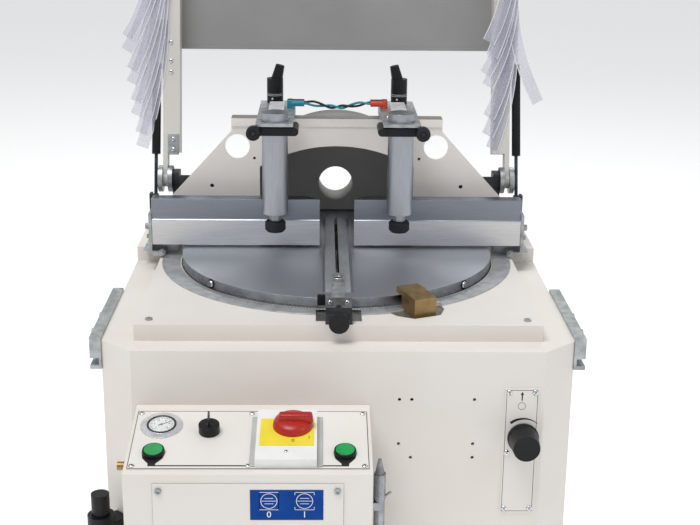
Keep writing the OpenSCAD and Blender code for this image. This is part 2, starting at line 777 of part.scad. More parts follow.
// Clamp arms reach forward from the bridge flange and carry the clamp barrels
arm_bottom = arch_top;
arm_top = arm_bottom + clamp_arm_t;
clamp_arm_y0 = -clamp_y - 30;
clamp_arm_y1 = arch_y + flange_d + 26;
lever_y = arch_y + flange_d + 6;
lever_stud_d = 12;
lever_out = 5;
cap_h = 14;
nose_step = 16;
nose_z = arm_bottom + nose_step;
nose_back = 12;

module clamp_arms() color([0.6, 0.62, 0.63]) at_table() both_sides() difference() {
    union() {
        translate([clamp_x - clamp_arm_w / 2, clamp_arm_y0, arm_bottom])
            cube([clamp_arm_w, clamp_arm_y1 - clamp_arm_y0, clamp_arm_t]);
        translate([clamp_x - 13, -clamp_y + 32, arm_top]) cube([26, lever_y - 24 + clamp_y - 32, 6]);
        // Block under the arm that hooks behind the bridge flange
        translate([clamp_x - 20, arch_y + flange_d + gap, arm_bottom - 18]) cube([40, 24, 18 + eps]);
    }
    // The nose in front of the bridge is thinner
    translate([clamp_x - clamp_arm_w, clamp_arm_y0 - 1, arm_bottom - 1])
        cube([2 * clamp_arm_w, arch_y - nose_back - clamp_arm_y0 + 1, nose_step + 1]);
    translate([clamp_x, -clamp_y, arm_bottom - 1]) cylinder(d = barrel_d - 8, h = clamp_arm_t + 2);
    translate([clamp_x + lever_out, lever_y, arm_bottom + 6])
        cylinder(d = lever_stud_d + 2 * fit, h = clamp_arm_t);
}

module at_clamp(z) {
    at_table() both_sides() translate([clamp_x, -clamp_y, z]) children();
}

module clamp_barrels() color([0.78, 0.79, 0.81]) at_clamp(0) difference() {
    union() {
        translate([0, 0, barrel_z]) cylinder(d = barrel_d, h = nose_z - barrel_z);
        translate([0, 0, nose_z - eps]) cylinder(d = barrel_d - 8 - 2 * fit, h = arm_top - nose_z + eps);
        translate([0, 0, arm_top]) cylinder(d = barrel_d + 2, h = cap_h);
    }
    translate([0, 0, barrel_z - 1]) cylinder(d = rod_d + 2 * fit, h = 110);
}

collar_h = 15;
collar_z = nose_z - collar_h - 1;
collar_l = 56;
bar_in = 32;
bar_out = 30;
knob_y = clamp_arm_y0 + clamp_y - gap;

module clamp_collars() color([0.08, 0.08, 0.09]) at_clamp(collar_z) difference() {
    union() {
        translate([-bar_in, -collar_l / 2, 1]) cube([bar_in + bar_out, collar_l, collar_h - 2]);
        y_rod([-bar_in, -collar_l / 2, collar_h / 2], collar_h - 2, collar_l);
        // Clamping knob in front of the arm's outer corner, on its screw
        y_rod([bar_out + 3, knob_y - 4, collar_h / 2], collar_h - 3, 22);
        y_rod([bar_out + 3, knob_y - 13, collar_h / 2], 23, 13);
    }
    translate([0, 0, -1]) cylinder(d = barrel_d + 2 * fit, h = collar_h + 2);
}

// Rubber foot, nut and rod of one clamp
module clamp_foot() translate([clamp_x, -clamp_y, barrel_z]) {
    nut_h = 12;
    translate([0, 0, -nut_h - pad_h]) cylinder(d1 = pad_d - 7, d2 = pad_d, h = 4);
    translate([0, 0, -nut_h - pad_h + 4 - eps]) cylinder(d = pad_d, h = pad_h - 7);
    translate([0, 0, -nut_h - 3 - eps]) cylinder(d1 = pad_d, d2 = pad_d - 6, h = 3);
    translate([0, 0, -nut_h - eps]) cylinder(d = 20, h = nut_h - 1, $fn = 6);
    translate([0, 0, -nut_h]) cylinder(d = rod_d, h = nut_h + clamp_stroke + 30);
}

module left_clamp_foot() color([0.1, 0.1, 0.11]) at_table() mirror([1, 0, 0]) clamp_foot();
module right_clamp_foot() color([0.1, 0.1, 0.11]) at_table() clamp_foot();

// Clamping lever: hub on a stud, handle leaning up and inwards
hub_d = 28;
hub_h = 42;

module clamp_lever() translate([clamp_x + lever_out, lever_y, arm_top]) {
    translate([0, 0, -clamp_arm_t + 8]) cylinder(d = lever_stud_d, h = clamp_arm_t);
    translate([0, 0, gap]) cylinder(d = hub_d, h = hub_h);
    translate([0, 0, hub_h - 14]) rotate([0, -14, 0]) cylinder(d1 = 22, d2 = 15, h = 38);
}

module left_lever() color([0.08, 0.08, 0.08]) at_table() mirror([1, 0, 0]) clamp_lever();
module right_lever() color([0.08, 0.08, 0.08]) at_table() clamp_lever();

// Push-in elbows on top of the clamp arms and the two hoses between them
fitting_y = arch_y - 17;
fitting_z = arm_top + 8;
fitting_in = 8;
fitting_l = 16;
fitting_x = clamp_x - clamp_arm_w / 2;

module air_fittings() color([0.75, 0.3, 0.2]) at_table() both_sides() {
    for (dy = [0, 14]) translate([fitting_x + fitting_in, fitting_y + dy, 0]) {
        translate([0, 0, arm_top]) cylinder(d = 10, h = fitting_z - arm_top + 5);
        x_rod([-fitting_l - fitting_in, 0, fitting_z], 10, fitting_l + fitting_in);
    }
}

// Each hose turns round a middle line that sags; the spread narrows from the fittings to a touching pair
hose_d = 4;
hose_end = fitting_x - fitting_l;
hose_steps = 39;
hose_turns = 2;
hose_sag = 7;
hose_close = 0.27;
hose_gap = 0.3;
pair_r = (hose_d + hose_gap) / 2;
ends_r = 7;

function ease(t) = t * t * (3 - 2 * t);
function spread(t) = ends_r + (pair_r - ends_r) * ease(min(1, min(t, 1 - t) / hose_close));
function hose_at(t, start) = let (turn = start + 360 * hose_turns * ease(t), r = spread(t)) [
    hose_end * (2 * t - 1),
    fitting_y + ends_r - r * cos(turn),
    fitting_z - r * sin(turn) - hose_sag * (1 - cos(360 * t)) / 2
];
black_route = [for (i = [0:hose_steps]) hose_at(i / hose_steps, 180)];
teal_route = [for (i = [0:hose_steps]) hose_at(i / hose_steps, 0)];

function unit(v) = v / norm(v);

// Swept tube through the route's points, eight sides
module hose(pts, d) {
    sides = 8;
    n = len(pts);
    rings = [for (i = [0:n - 1]) let (
        t = i == 0 || i == n - 1 ? [1, 0, 0] : unit(pts[i + 1] - pts[i - 1]),
        u = unit(cross(t, [0, 0, 1])),
        v = cross(u, t)
    ) [for (k = [0:sides - 1]) pts[i] + d / 2 * (cos(360 * k / sides) * u + sin(360 * k / sides) * v)]];
    points = [for (r = rings) each r];
    quads = [for (i = [0:n - 2], k = [0:sides - 1]) let (
        a = i * sides + k, b = i * sides + (k + 1) % sides, c = b + sides, e = a + sides
    ) each [[a, b, c], [a, c, e]]];
    first = [for (k = [1:sides - 2]) [0, k + 1, k]];
    last = [for (k = [1:sides - 2]) [(n - 1) * sides, (n - 1) * sides + k, (n - 1) * sides + k + 1]];
    polyhedron(points, concat(quads, first, last));
}

module air_hoses() at_table() {
    color([0.07, 0.07, 0.08]) hose(black_route, hose_d);
    color([0.05, 0.5, 0.55]) hose(teal_route, hose_d);
}

// Hood pivots behind the bridge panel
hood_end_r = 14;
hood_y = arch_y + arch_t + hood_end_r;
hood_pin_d = 12;
arm_out = arm_in + arm_w;
arm_front = 12;
arm_back = 22;
arm_wall = 3;
tongue_t = 8;
tongue_l = 46;
disc_d = 46;
disc_w = 8;
bracket_h = 41;
bracket_in = 27;
block_t = 12;
block_x = arm_out - tongue_t - gap - disc_w - block_t;

module at_hood() {
    translate([0, hood_y, hood_z]) rotate([-hood_lean, 0, 0]) children();
}

module hood_brackets() color([0.22, 0.22, 0.23]) at_table() both_sides() {
    translate([block_x, arch_y + arch_t, hood_z - bracket_in]) cube([block_t, 30, bracket_h]);
    translate([arm_in - 50, arch_y + arch_t, hood_z - bracket_in])
        cube([block_x - arm_in + 50 + eps, 4, 36]);
    // Pin with a disc on each side of the arm's tongue
    x_rod([block_x, hood_y, hood_z], hood_pin_d, arm_out - block_x + 2 * gap);
    x_rod([block_x + block_t - eps, hood_y, hood_z], disc_d, disc_w);
    x_rod([arm_out + gap, hood_y, hood_z], disc_d, disc_w);
    // Post on the deck with the pin for the strut's lower eye
    translate([strut_x - strut_eye_w / 2, strut_foot[0] - 8, deck_z + scale_t])
        cube([strut_eye_w + gap + post_t, 16, strut_foot[1] - 10 - deck_z - scale_t]);
    translate([strut_x + strut_eye_w / 2 + gap, strut_foot[0] - 8, deck_z + scale_t])
        cube([post_t, 16, strut_foot[1] + 8 - deck_z - scale_t]);
    x_rod([strut_x - strut_eye_w / 2, strut_foot[0], strut_foot[1]], 6, strut_eye_w + post_t);
}

module hood_arms() color([0.9, 0.89, 0.86]) at_table() at_hood() both_sides() difference() {
    union() {
        translate([arm_in, -arm_front, tongue_l]) cube([arm_w, arm_front + arm_back, hood_len - tongue_l]);
        // Tongue at the outer side that turns between the discs
        translate([arm_out - tongue_t, -arm_front, 0])
            cube([tongue_t, arm_front + hood_end_r, tongue_l + eps]);
        x_rod([arm_out - tongue_t, 0, 0], 2 * hood_end_r, tongue_t);
        // Stepped blocks that hold the curtain rows, each row one pair of strips further out
        for (k = [1:3])
            translate([arm_out - holder_w / 2, -arm_front - 2 * k * layer, row_at(k) - holder_l])
                cube([holder_w, 2 * k * layer + eps, holder_l]);
        // Ball stud for the strut
        x_rod([arm_out - eps, 0, strut_r], 9, strut_x - strut_eye_w / 2 - gap - arm_out);
    }
    translate([arm_in + arm_wall, -arm_front + arm_wall, tongue_l + arm_wall])
        cube([arm_w - 2 * arm_wall, arm_front + arm_back, hood_len - tongue_l - 2 * arm_wall]);
    x_rod([arm_in - 1, 0, 0], hood_pin_d + 2 * fit, arm_w + 2);
}

sheet_bend = [[arm_back, sheet_start], [arm_back, hood_len], [arm_back - 24, hood_len + 34],
              [arm_back - 84, hood_len + 48]];

module hood_sheet() color([0.7, 0.7, 0.69]) at_table() at_hood() {
    slab(-arm_out, 2 * arm_out) {
        for (i = [0:2]) bar(sheet_bend[i] + [1, 0], sheet_bend[i + 1] + [1, 0], 2);
        for (i = [1, 2]) translate(sheet_bend[i] + [1, 0]) circle(d = 2);
    }
}

// Curtain strips hang in rows of two, each strip in a layer of its own in front of the arms
curtain_t = 2;
layer = curtain_t + gap;
holder_w = 24;
holder_l = 18;
row_end = 42;
row_pitch = (hood_len - sheet_start - 2 * row_end) / 3;
rivet_d = 7;
strip_drop = curtain_w / 2 * tan(curtain_lean) + gap;
stray_lean = -14;
function row_at(k) = sheet_start + row_end + row_pitch * k;
function is_stray(side, k, i) = side > 0 && k == 2 && i == 1;
function strip_lean(side, k, i) = is_stray(side, k, i) ? stray_lean : (i + 1) / 2 * curtain_lean;

module curtain_row(k) color([0.85, 0.85, 0.93, 0.6]) at_table() at_hood() for (side = [-1, 1])
    translate([side * arm_out, -arm_front - gap - 2 * k * layer, row_at(k)]) {
        for (i = [0, 1]) translate([0, -i * layer - curtain_t, 0]) rotate([0, strip_lean(side, k, i), 0])
            translate([-curtain_w / 2, 0, -strip_drop - curtain_l]) cube([curtain_w, curtain_t, curtain_l]);
        y_rod([0, -layer - curtain_t, -strip_drop - rivet_d], rivet_d, layer + curtain_t);
    }

module curtain_1() curtain_row(0);
module curtain_2() curtain_row(1);
module curtain_3() curtain_row(2);
module curtain_4() curtain_row(3);

// Gas struts outside the hood arms
strut_r = 194;
strut_x = arm_out + 2 * gap + disc_w + strut_rod_d / 2 + 0.2;
strut_eye_w = 10;
strut_foot = [hood_y - 23, 70];
post_t = 5;
strut_head = [hood_y + strut_r * sin(hood_lean), hood_z + strut_r * cos(hood_lean)];
strut_len = norm(strut_head - strut_foot);
strut_lean = atan2(strut_head[0] - strut_foot[0], strut_head[1] - strut_foot[1]);
strut_barrel_l = 152;
strut_bore_l = 118;
strut_hold = 20;

module at_strut() {
    translate([strut_x, strut_foot[0], strut_foot[1]]) rotate([-strut_lean, 0, 0]) children();
}

module strut_barrels() color([0.05, 0.05, 0.06]) at_table() both_sides() at_strut() difference() {
    union() {
        translate([0, 0, strut_len - strut_barrel_l]) cylinder(d = strut_d, h = strut_barrel_l - 8);
        x_rod([-strut_eye_w / 2, 0, strut_len], strut_d + 3, strut_eye_w);
    }
    translate([0, 0, strut_len - strut_barrel_l - 1])
        cylinder(d = strut_rod_d + 2 * fit, h = strut_bore_l + 1);
}

module strut_rods() color([0.08, 0.08, 0.09]) at_table() both_sides() at_strut() difference() {
    union() {
        cylinder(d = strut_rod_d, h = strut_len - strut_barrel_l + strut_hold);
        x_rod([-strut_eye_w / 2, 0, 0], 14, strut_eye_w);
    }
    x_rod([-20, 0, 0], 6 + 2 * fit, 40);
}

// Control box on the cabinet front with a sloping top
box_wall = 2.5;
box_right = box_w - box_left;
box_y = -cab_front;
slope = atan(box_slope / box_d);
slope_l = box_d / cos(slope);
panel_side = 5;
panel_rear = 19;
panel_front = 10;
panel_lap = 10;
flap_in = 40;
panel_t = 1.5;

function box_side(inset) = [
    [box_y - inset, -box_drop - inset - inset * tan(slope)],
    [box_y - box_d + inset, -box_drop - box_slope - inset],
    [box_y - box_d + inset, -box_drop - box_slope - box_h + inset],
    [box_y - inset, -box_drop - box_slope - box_h + inset]
];

module at_slope(x = 0, d = 0) {
    translate([-box_left, box_y, -box_drop]) rotate([slope, 0, 0]) translate([x, -d, 0]) children();
}

// Well under the top panel
box_well_w = box_w - 2 * (panel_side + panel_lap);
box_well_l = slope_l - panel_rear - panel_front - 2 * panel_lap;

module control_box() color([0.91, 0.89, 0.85]) at_table() difference() {
    slab(-box_left, box_w) polygon(box_side(0));
    slab(-box_left + box_wall, box_w - 2 * box_wall) polygon(box_side(box_wall));
    at_slope(panel_side + panel_lap, slope_l - panel_front - panel_lap) translate([0, 0, -8])
        cube([box_well_w, box_well_l, 20]);
    translate([-box_left + flap_in + panel_lap, box_y - box_d - 1, -box_drop - box_slope - box_h + 20])
        cube([box_w - 2 * (flap_in + panel_lap), 10, box_h - 48]);
}

// Places on the sloping panel: distance from the box's left side and from its rear edge
gauge_in = 42;
gauge_at = [gauge_in, 54];
button_front = 45;
button_l_at = [button_in, slope_l - button_front];
button_r_at = [box_w - button_in, slope_l - button_front];
switch_w = 84;
switch_h = 14;
switch_in = 76;
switch_rear = 34;
switch_front = 12.4;
switch_l = slope_l - switch_rear - switch_front;
switch_at = [box_w - switch_in - switch_w, switch_rear];
handle_at = switch_at + [switch_w / 2 + 8, 39];
button_stem_d = 16;
bezel_h = 6;
button_up = 6.6;
button_travel = 3;
key_d = 29.5;
key_h = 13;
key_low = gauge_in + (gauge_d + key_d) / 2;
key_high = switch_at[0] - key_d / 2;
key_at = [key_low + 0.308 * (key_high - key_low), 68];
handle_stem_d = 12;
grip_l = 50;
grip_w = 15;

module control_panel() color([0.93, 0.92, 0.9]) at_table() at_slope() difference() {
    translate([panel_side, -slope_l + panel_front, 0])
        cube([box_w - 2 * panel_side, slope_l - panel_front - panel_rear, panel_t]);
    for (p = [button_l_at, button_r_at])
        translate([p[0], -p[1], -1]) cylinder(d = button_stem_d + 2, h = 9);
    translate([handle_at[0], -handle_at[1], -1]) cylinder(d = handle_stem_d + 2, h = 9);
}

module control_cover() color([0.9, 0.88, 0.84]) at_table() {
    w = box_w - 2 * flap_in;
    h = box_h - 22;
    y = box_y - box_d;
    z = -box_drop - box_slope - box_h + 8;
    translate([-box_left + flap_in, y - cover_t, z]) cube([w, cover_t, h]);
    for (x = [8, w - 8], dz = [10, h - 10])
        translate([-box_left + flap_in + x, y - cover_t, z + dz]) rotate([90, 0, 0]) screw_head(9, screw_h);
}

// Stands its children on the panel at a place given from the left and from the rear
module on_panel(p) {
    at_slope(p[0], p[1]) translate([0, 0, panel_t]) children();
}

module gauge() color([0.75, 0.76, 0.78]) at_table() on_panel(gauge_at) {
    rotate_extrude($fn = 72) polygon([
        [0, 0], [gauge_d / 2, 0], [gauge_d / 2, 1.2], [gauge_d * 0.35, 1.8], [gauge_d * 0.34, 3],
        [gauge_d * 0.31, 3], [gauge_d * 0.3, 1.8], [0, 1.8]
    ]);
}

// Black button bezels and the key switch body
module panel_fittings() color([0.08, 0.08, 0.09]) at_table() {
    for (p = [button_l_at, button_r_at]) on_panel(p) difference() {
        cylinder(d1 = button_d + 2, d2 = button_d, h = bezel_h);
        translate([0, 0, -1]) cylinder(d = button_d - 3.2, h = bezel_h + 2);
    }
    on_panel(key_at) difference() {
        cylinder(d = key_d, h = key_h);
        translate([0, 0, key_h - 6]) cylinder(d = 8 + 2 * fit, h = 7);
    }
}

module push_button(p) on_panel(p) {
    translate([0, 0, button_travel + gap]) cylinder(d = button_d - 4, h = button_up - button_travel - gap);
    translate([0, 0, -14]) cylinder(d = button_stem_d, h = 14 + button_travel + 1);
}

module left_button() color([0.02, 0.6, 0.38]) at_table() push_button(button_l_at);
module right_button() color([0.02, 0.6, 0.38]) at_table() push_button(button_r_at);

module panel_key() color([0.7, 0.7, 0.72]) at_table() on_panel(key_at) translate([0, 0, key_h]) {
    translate([0, 0, -5.5]) cylinder(d = 8, h = 6);
    translate([-1, -5, 0]) cube([2, 10, 8]);
    translate([-1, 0, 13]) rotate([0, 90, 0]) difference() {
        cylinder(d = 15, h = 2);
        translate([0, 0, -1]) cylinder(d = 7, h = 4);
    }
}

module switch_base() color([0.86, 0.86, 0.85]) at_table() on_panel(switch_at + [0, switch_l]) difference() {
    cube([switch_w, switch_l, switch_h]);
    translate([handle_at[0] - switch_at[0], switch_l + switch_at[1] - handle_at[1], -1])
        cylinder(d = handle_stem_d + 2 * fit, h = switch_h + 2);
}

module switch_handle() color([0.75, 0.12, 0.08]) at_table() on_panel(handle_at) {
    translate([0, 0, -4]) cylinder(d = handle_stem_d, h = switch_h + 6);
    translate([0, 0, switch_h + gap]) cylinder(d1 = 56, d2 = 50, h = 9);
    translate([-grip_l / 2, -grip_w / 2, switch_h + gap + 7]) cube([grip_l, grip_w, 14]);
}

// Speed plate with its knob on the cabinet front
speed_x = 241;
speed_w = 50;
speed_z = -296;
speed_h = 199.5;
speed_t = 2;
speed_knob_at = [270, -174];
speed_shaft_d = 10;

module speed_plate() color([0.82, 0.82, 0.82]) at_table() difference() {
    translate([speed_x, -cab_front - speed_t, speed_z]) cube([speed_w, speed_t, speed_h]);
    y_rod([speed_knob_at[0], -cab_front - 2 * speed_t, speed_knob_at[1]],
          speed_shaft_d + 2 * fit, 3 * speed_t);
}

module speed_knob() color([0.07, 0.07, 0.07]) at_table()
    translate([speed_knob_at[0], -cab_front - speed_t, speed_knob_at[1]]) rotate([90, 0, 0]) {
        translate([0, 0, -speed_t - 8]) cylinder(d = speed_shaft_d, h = 14 + speed_t);
        translate([0, 0, gap]) cylinder(d = 46, h = 6);
        translate([0, 0, gap + 6 - eps]) cylinder(d1 = 44, d2 = 39, h = 34);
    }

// Air regulator on the left bevelled corner
reg_out = 40;
reg_z = -355;
reg_body_h = 60;
bevel_mid = [-half_w + bevel_x / 2, -cab_front + bevel_y / 2];
bevel_n = unit([-bevel_y, -bevel_x]);
reg_c = bevel_mid + reg_out * bevel_n;
reg_turn = atan2(bevel_n[1], bevel_n[0]);

module at_regulator() {
    translate([reg_c[0], reg_c[1], reg_z]) rotate([0, 0, reg_turn]) children();
}

module regulator_body() color([0.1, 0.1, 0.11]) at_table() at_regulator() difference() {
    union() {
        cylinder(d = 40, h = reg_body_h);
        translate([0, 0, -34]) cylinder(d1 = 28, d2 = 36, h = 34 + eps);
        translate([-reg_out, -14, 10]) cube([reg_out - 10, 28, 36]);
    }
    translate([0, 0, reg_body_h - 12]) cylinder(d = 10 + 2 * fit, h = 20);
}

module regulator_knob() color([0.06, 0.06, 0.07]) at_table() at_regulator() translate([0, 0, reg_body_h]) {
    translate([0, 0, -10]) cylinder(d = 10, h = 12);
    translate([0, 0, gap]) cylinder(d = 27, h = 33);
}

// Blow gun in its hook on the right side of the control box, and the brass air inlet on the left
gun_x = box_right + 14;
gun_y = box_y - 45;
gun_top = -188;

module blow_gun() color([0.7, 0.71, 0.72]) at_table() {
    translate([gun_x, gun_y, gun_top - 22]) cylinder(d1 = 14, d2 = 5, h = 22);
    translate([gun_x, gun_y, gun_top - 62]) cylinder(d = 18, h = 40 + eps);
    translate([gun_x, gun_y, gun_top - 190]) cylinder(d = 16, h = 128 + eps);
    translate([box_right, gun_y - 8, gun_top - 78]) cube([gun_x - box_right, 16, 12]);
    translate([gun_x, gun_y, gun_top - 66]) rotate([0, 50, 0]) cylinder(d = 4, h = 22);
    x_rod([-box_left - 16, box_y - 94, -box_drop - 52], 12, 16);
}

base_frame();
levelling_feet();
cabinet_shell();
rear_cover();
top_deck();
table_ring();
scale_ring();
fasteners();
side_rails();
index_block();
fences();
fence_brackets();
arch_panel();
rear_hood();
dust_panel();
hood_brackets();
clamp_arms();
clamp_barrels();
clamp_collars();
air_fittings();
air_hoses();
control_box();
control_panel();
control_cover();
gauge();
panel_fittings();
switch_base();
speed_plate();
regulator_body();
blow_gun();
table_disc();
slot_strips();
index_plate();
saw_frame();
saw_arm();
saw_motor();
drive_belt();
saw_blade();
motor_pulley();
lift_rod();
left_clamp_foot();
right_clamp_foot();
left_lever();
right_lever();
index_knob();
lock_shoe();
hood_sheet();
hood_arms();
curtain_1();
curtain_2();
curtain_3();
curtain_4();
strut_barrels();
strut_rods();
left_button();
right_button();
panel_key();
switch_handle();
speed_knob();
regulator_knob();
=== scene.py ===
# %% [markdown]
# # An upcut saw, dressed around its CAD frame
# The machine was drawn as exact solids first, and those solids carry the joints. This script loads them as a fixed
# frame and gives each of them its looks: rounded sheet-metal edges, real finishes, and the small pieces that solids
# leave plain. Nothing here moves a solid, so every joint still works when the script has run.

import json
import math

import bmesh
import bpy
from mathutils import Matrix, Vector


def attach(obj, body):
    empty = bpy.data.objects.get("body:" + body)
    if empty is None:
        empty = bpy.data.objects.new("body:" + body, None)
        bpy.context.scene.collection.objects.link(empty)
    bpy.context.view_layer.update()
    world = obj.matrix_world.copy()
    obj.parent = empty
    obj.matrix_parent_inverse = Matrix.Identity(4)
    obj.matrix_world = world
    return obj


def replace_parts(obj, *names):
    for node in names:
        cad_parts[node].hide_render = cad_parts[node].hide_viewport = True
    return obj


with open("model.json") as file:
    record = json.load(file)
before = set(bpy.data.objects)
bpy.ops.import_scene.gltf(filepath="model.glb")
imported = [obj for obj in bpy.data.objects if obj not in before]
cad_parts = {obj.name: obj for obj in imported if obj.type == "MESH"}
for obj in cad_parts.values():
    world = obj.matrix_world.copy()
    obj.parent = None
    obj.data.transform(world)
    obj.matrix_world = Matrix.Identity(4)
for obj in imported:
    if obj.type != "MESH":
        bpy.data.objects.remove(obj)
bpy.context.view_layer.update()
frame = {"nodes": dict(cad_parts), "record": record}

# %% [markdown]
# The drawing measures everything from the middle of the table top, in millimetres. `spot` turns such a place into
# Blender's metres, so that a piece can be put where the drawing says without any fitting by eye. `placed` is the
# same as a matrix, and `moved` is a step from wherever another matrix has led.

# %% Places and owners
TABLE_MIDDLE = Vector((0.0, 0.095, 0.900))
MM = 0.001


def spot(x, y, z):
    return TABLE_MIDDLE + Vector((x, y, z)) * MM


def placed(x, y, z):
    return Matrix.Translation(spot(x, y, z))


def moved(x, y, z):
    return Matrix.Translation(Vector((x, y, z)) * MM)


record = frame["record"]
body_of = {node: body for body, nodes in record["behaviour"]["bodies"].items() for node in nodes}
slot_of = {part["node"]: part["material_slot"] for part in record["subparts"]}

# %% [markdown]
# ## The camera
# The camera stands a little above the table, straight in front, as in the photograph. Its place and its two axes
# were worked out from the straight edges of the fence, the deck and the control box, so they are written down as
# numbers and not found by hand. Blender's camera looks along its own -Z.

# %% Camera
camera_place = Vector((-0.0270, -2.0195, 1.5290))
camera_right = Vector((0.99974, -0.02028, 0.01065))
camera_up = Vector((-0.00420, 0.29504, 0.95546))
camera_data = bpy.data.cameras.new("camera")
camera_data.sensor_width = 36
camera_data.lens = 66.76
camera = bpy.data.objects.new("camera", camera_data)
bpy.context.scene.collection.objects.link(camera)
axes = Matrix((camera_right, camera_up, camera_right.cross(camera_up))).transposed()
camera.matrix_world = Matrix.Translation(camera_place) @ axes.to_4x4()
bpy.context.scene.camera = camera
print("camera at", [round(c, 3) for c in camera_place])

# %% [markdown]
# ## The studio
# A pale floor runs far behind the machine, so it is the background too. The light is bright and soft: an even white
# sky, one large lamp high up on the left, and weaker ones from the right and from behind. Large lamps matter here,
# because bare steel shows what it mirrors.

# %% Floor and lamps
FLOOR_HALF, FLOOR_DROP = 40, 1 * MM
floor_mesh = bpy.data.meshes.new("floor")
bm = bmesh.new()
bmesh.ops.create_grid(bm, x_segments=2, y_segments=2, size=FLOOR_HALF)
bm.to_mesh(floor_mesh)
bm.free()
floor = bpy.data.objects.new("floor", floor_mesh)
bpy.context.scene.collection.objects.link(floor)
floor.location.z = -FLOOR_DROP

sky = bpy.data.worlds.new("sky")
sky.use_nodes = True
sky.node_tree.nodes["Background"].inputs["Color"].default_value = (0.97, 0.98, 1.0, 1)
sky.node_tree.nodes["Background"].inputs["Strength"].default_value = 0.46
bpy.context.scene.world = sky
bpy.context.scene.view_settings.view_transform = "Standard"


def lamp(name, place, target, size, watts):
    data = bpy.data.lights.new(name, "AREA")
    data.shape = "RECTANGLE"
    data.size, data.size_y = size
    data.energy = watts
    light = bpy.data.objects.new(name, data)
    bpy.context.scene.collection.objects.link(light)
    light.location = place
    light.rotation_euler = (Vector(target) - Vector(place)).to_track_quat("-Z", "Y").to_euler()


lamp("key_lamp", (-1.6, -1.8, 7.0), (0, 0, 1.0), (3.4, 3.4), 245)
lamp("side_lamp", (4.6, -2.8, 4.4), (0, 0, 0.9), (2.4, 3.2), 35)
lamp("back_lamp", (0.6, 4.0, 4.6), (0, 0.1, 1.0), (4.0, 1.6), 60)
print("floor, sky and 3 lamps")

# %% [markdown]
# ## The air hoses
# Two 4 mm hoses feed the clamps. They leave the fittings on the left clamp arm, close up to a pair, turn twice round
# each other with a little sag, and open again to the fittings on the right. A curve with a round bevel is the natural
# way to draw a hose, because its centre line is its real length. The points follow the same rule as the drawing, so
# the curve lies in its solid. The bevel is one metre deep and each point's radius scales it down, because Blender
# also counts that radius in the box.

# %% Hose routes
HOSE_HALF_SPAN, HOSE_STEPS, HOSE_TURNS, HOSE_SAG = 56, 39, 2, 7
HOSE_MIDDLE, HOSE_HEIGHT = 70, 238
ENDS_APART, PAIR_APART = 7, 2.15
CLOSING_SHARE = 0.27
HOSE_THICK = 4 * MM


def ease(t):
    return t * t * (3 - 2 * t)


def hose_point(t, start):
    turn = start + math.tau * HOSE_TURNS * ease(t)
    apart = ENDS_APART + (PAIR_APART - ENDS_APART) * ease(min(1, min(t, 1 - t) / CLOSING_SHARE))
    sag = HOSE_SAG * (1 - math.cos(math.tau * t)) / 2
    return spot(HOSE_HALF_SPAN * (2 * t - 1), HOSE_MIDDLE - apart * math.cos(turn),
                HOSE_HEIGHT - apart * math.sin(turn) - sag)


def hose(name, start):
    points = [hose_point(i / HOSE_STEPS, start) for i in range(HOSE_STEPS + 1)]
    curve = bpy.data.curves.new(name, "CURVE")
    curve.dimensions = "3D"
    curve.bevel_depth = 1
    curve.bevel_resolution = 4
    curve.resolution_u = 4
    line = curve.splines.new("BEZIER")
    line.bezier_points.add(len(points) - 1)
    for knot, p in zip(line.bezier_points, points):
        knot.co = p
        knot.radius = HOSE_THICK / 2
        knot.handle_left_type = knot.handle_right_type = "AUTO"
    tube = bpy.data.objects.new(name, curve)
    bpy.context.scene.collection.objects.link(tube)
    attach(tube, "cabinet")
    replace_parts(tube, "air_hoses")
    return tube


black_hose = hose("black_hose", math.pi)
teal_hose = hose("teal_hose", 0.0)

# %% [markdown]
# ## Finishes
# A finish is a Principled shader with a few textures around it. Three small helpers cover most of the machine:
# `clouded` lets the colour drift, `patchy_gloss` lets the roughness drift, and `textured` raises a fine relief.
# All of them read Object coordinates, which are metres here, so a scale of 500 means grains of about 2 mm.

# %% Helpers for finishes
def rgb(code):
    parts = [int(code[i:i + 2], 16) / 255 for i in (1, 3, 5)]
    return (*[p / 12.92 if p < 0.04045 else ((p + 0.055) / 1.055) ** 2.4 for p in parts], 1.0)


def plain_finish(name, colour, rough, metal=0.0):
    finish = bpy.data.materials.new(name)
    finish.use_nodes = True
    shader = finish.node_tree.nodes["Principled BSDF"]
    shader.inputs["Base Color"].default_value = rgb(colour)
    shader.inputs["Roughness"].default_value = rough
    shader.inputs["Metallic"].default_value = metal
    return finish, finish.node_tree, shader


def noise_at(tree, scale, stretch=(1, 1, 1), detail=3.0):
    coordinates = tree.nodes.new("ShaderNodeTexCoord")
    mapping = tree.nodes.new("ShaderNodeMapping")
    mapping.inputs["Scale"].default_value = stretch
    noise = tree.nodes.new("ShaderNodeTexNoise")
    noise.inputs["Scale"].default_value = scale
    noise.inputs["Detail"].default_value = detail
    tree.links.new(coordinates.outputs["Object"], mapping.inputs["Vector"])
    tree.links.new(mapping.outputs["Vector"], noise.inputs["Vector"])
    return noise.outputs["Fac"]


def clouded(tree, shader, dark, light, scale, stretch=(1, 1, 1), span=(0.35, 0.65)):
    ramp = tree.nodes.new("ShaderNodeValToRGB")
    ramp.color_ramp.elements[0].position, ramp.color_ramp.elements[1].position = span
    ramp.color_ramp.elements[0].color = rgb(dark)
    ramp.color_ramp.elements[1].color = rgb(light)
    tree.links.new(noise_at(tree, scale, stretch), ramp.inputs["Fac"])
    tree.links.new(ramp.outputs["Color"], shader.inputs["Base Color"])


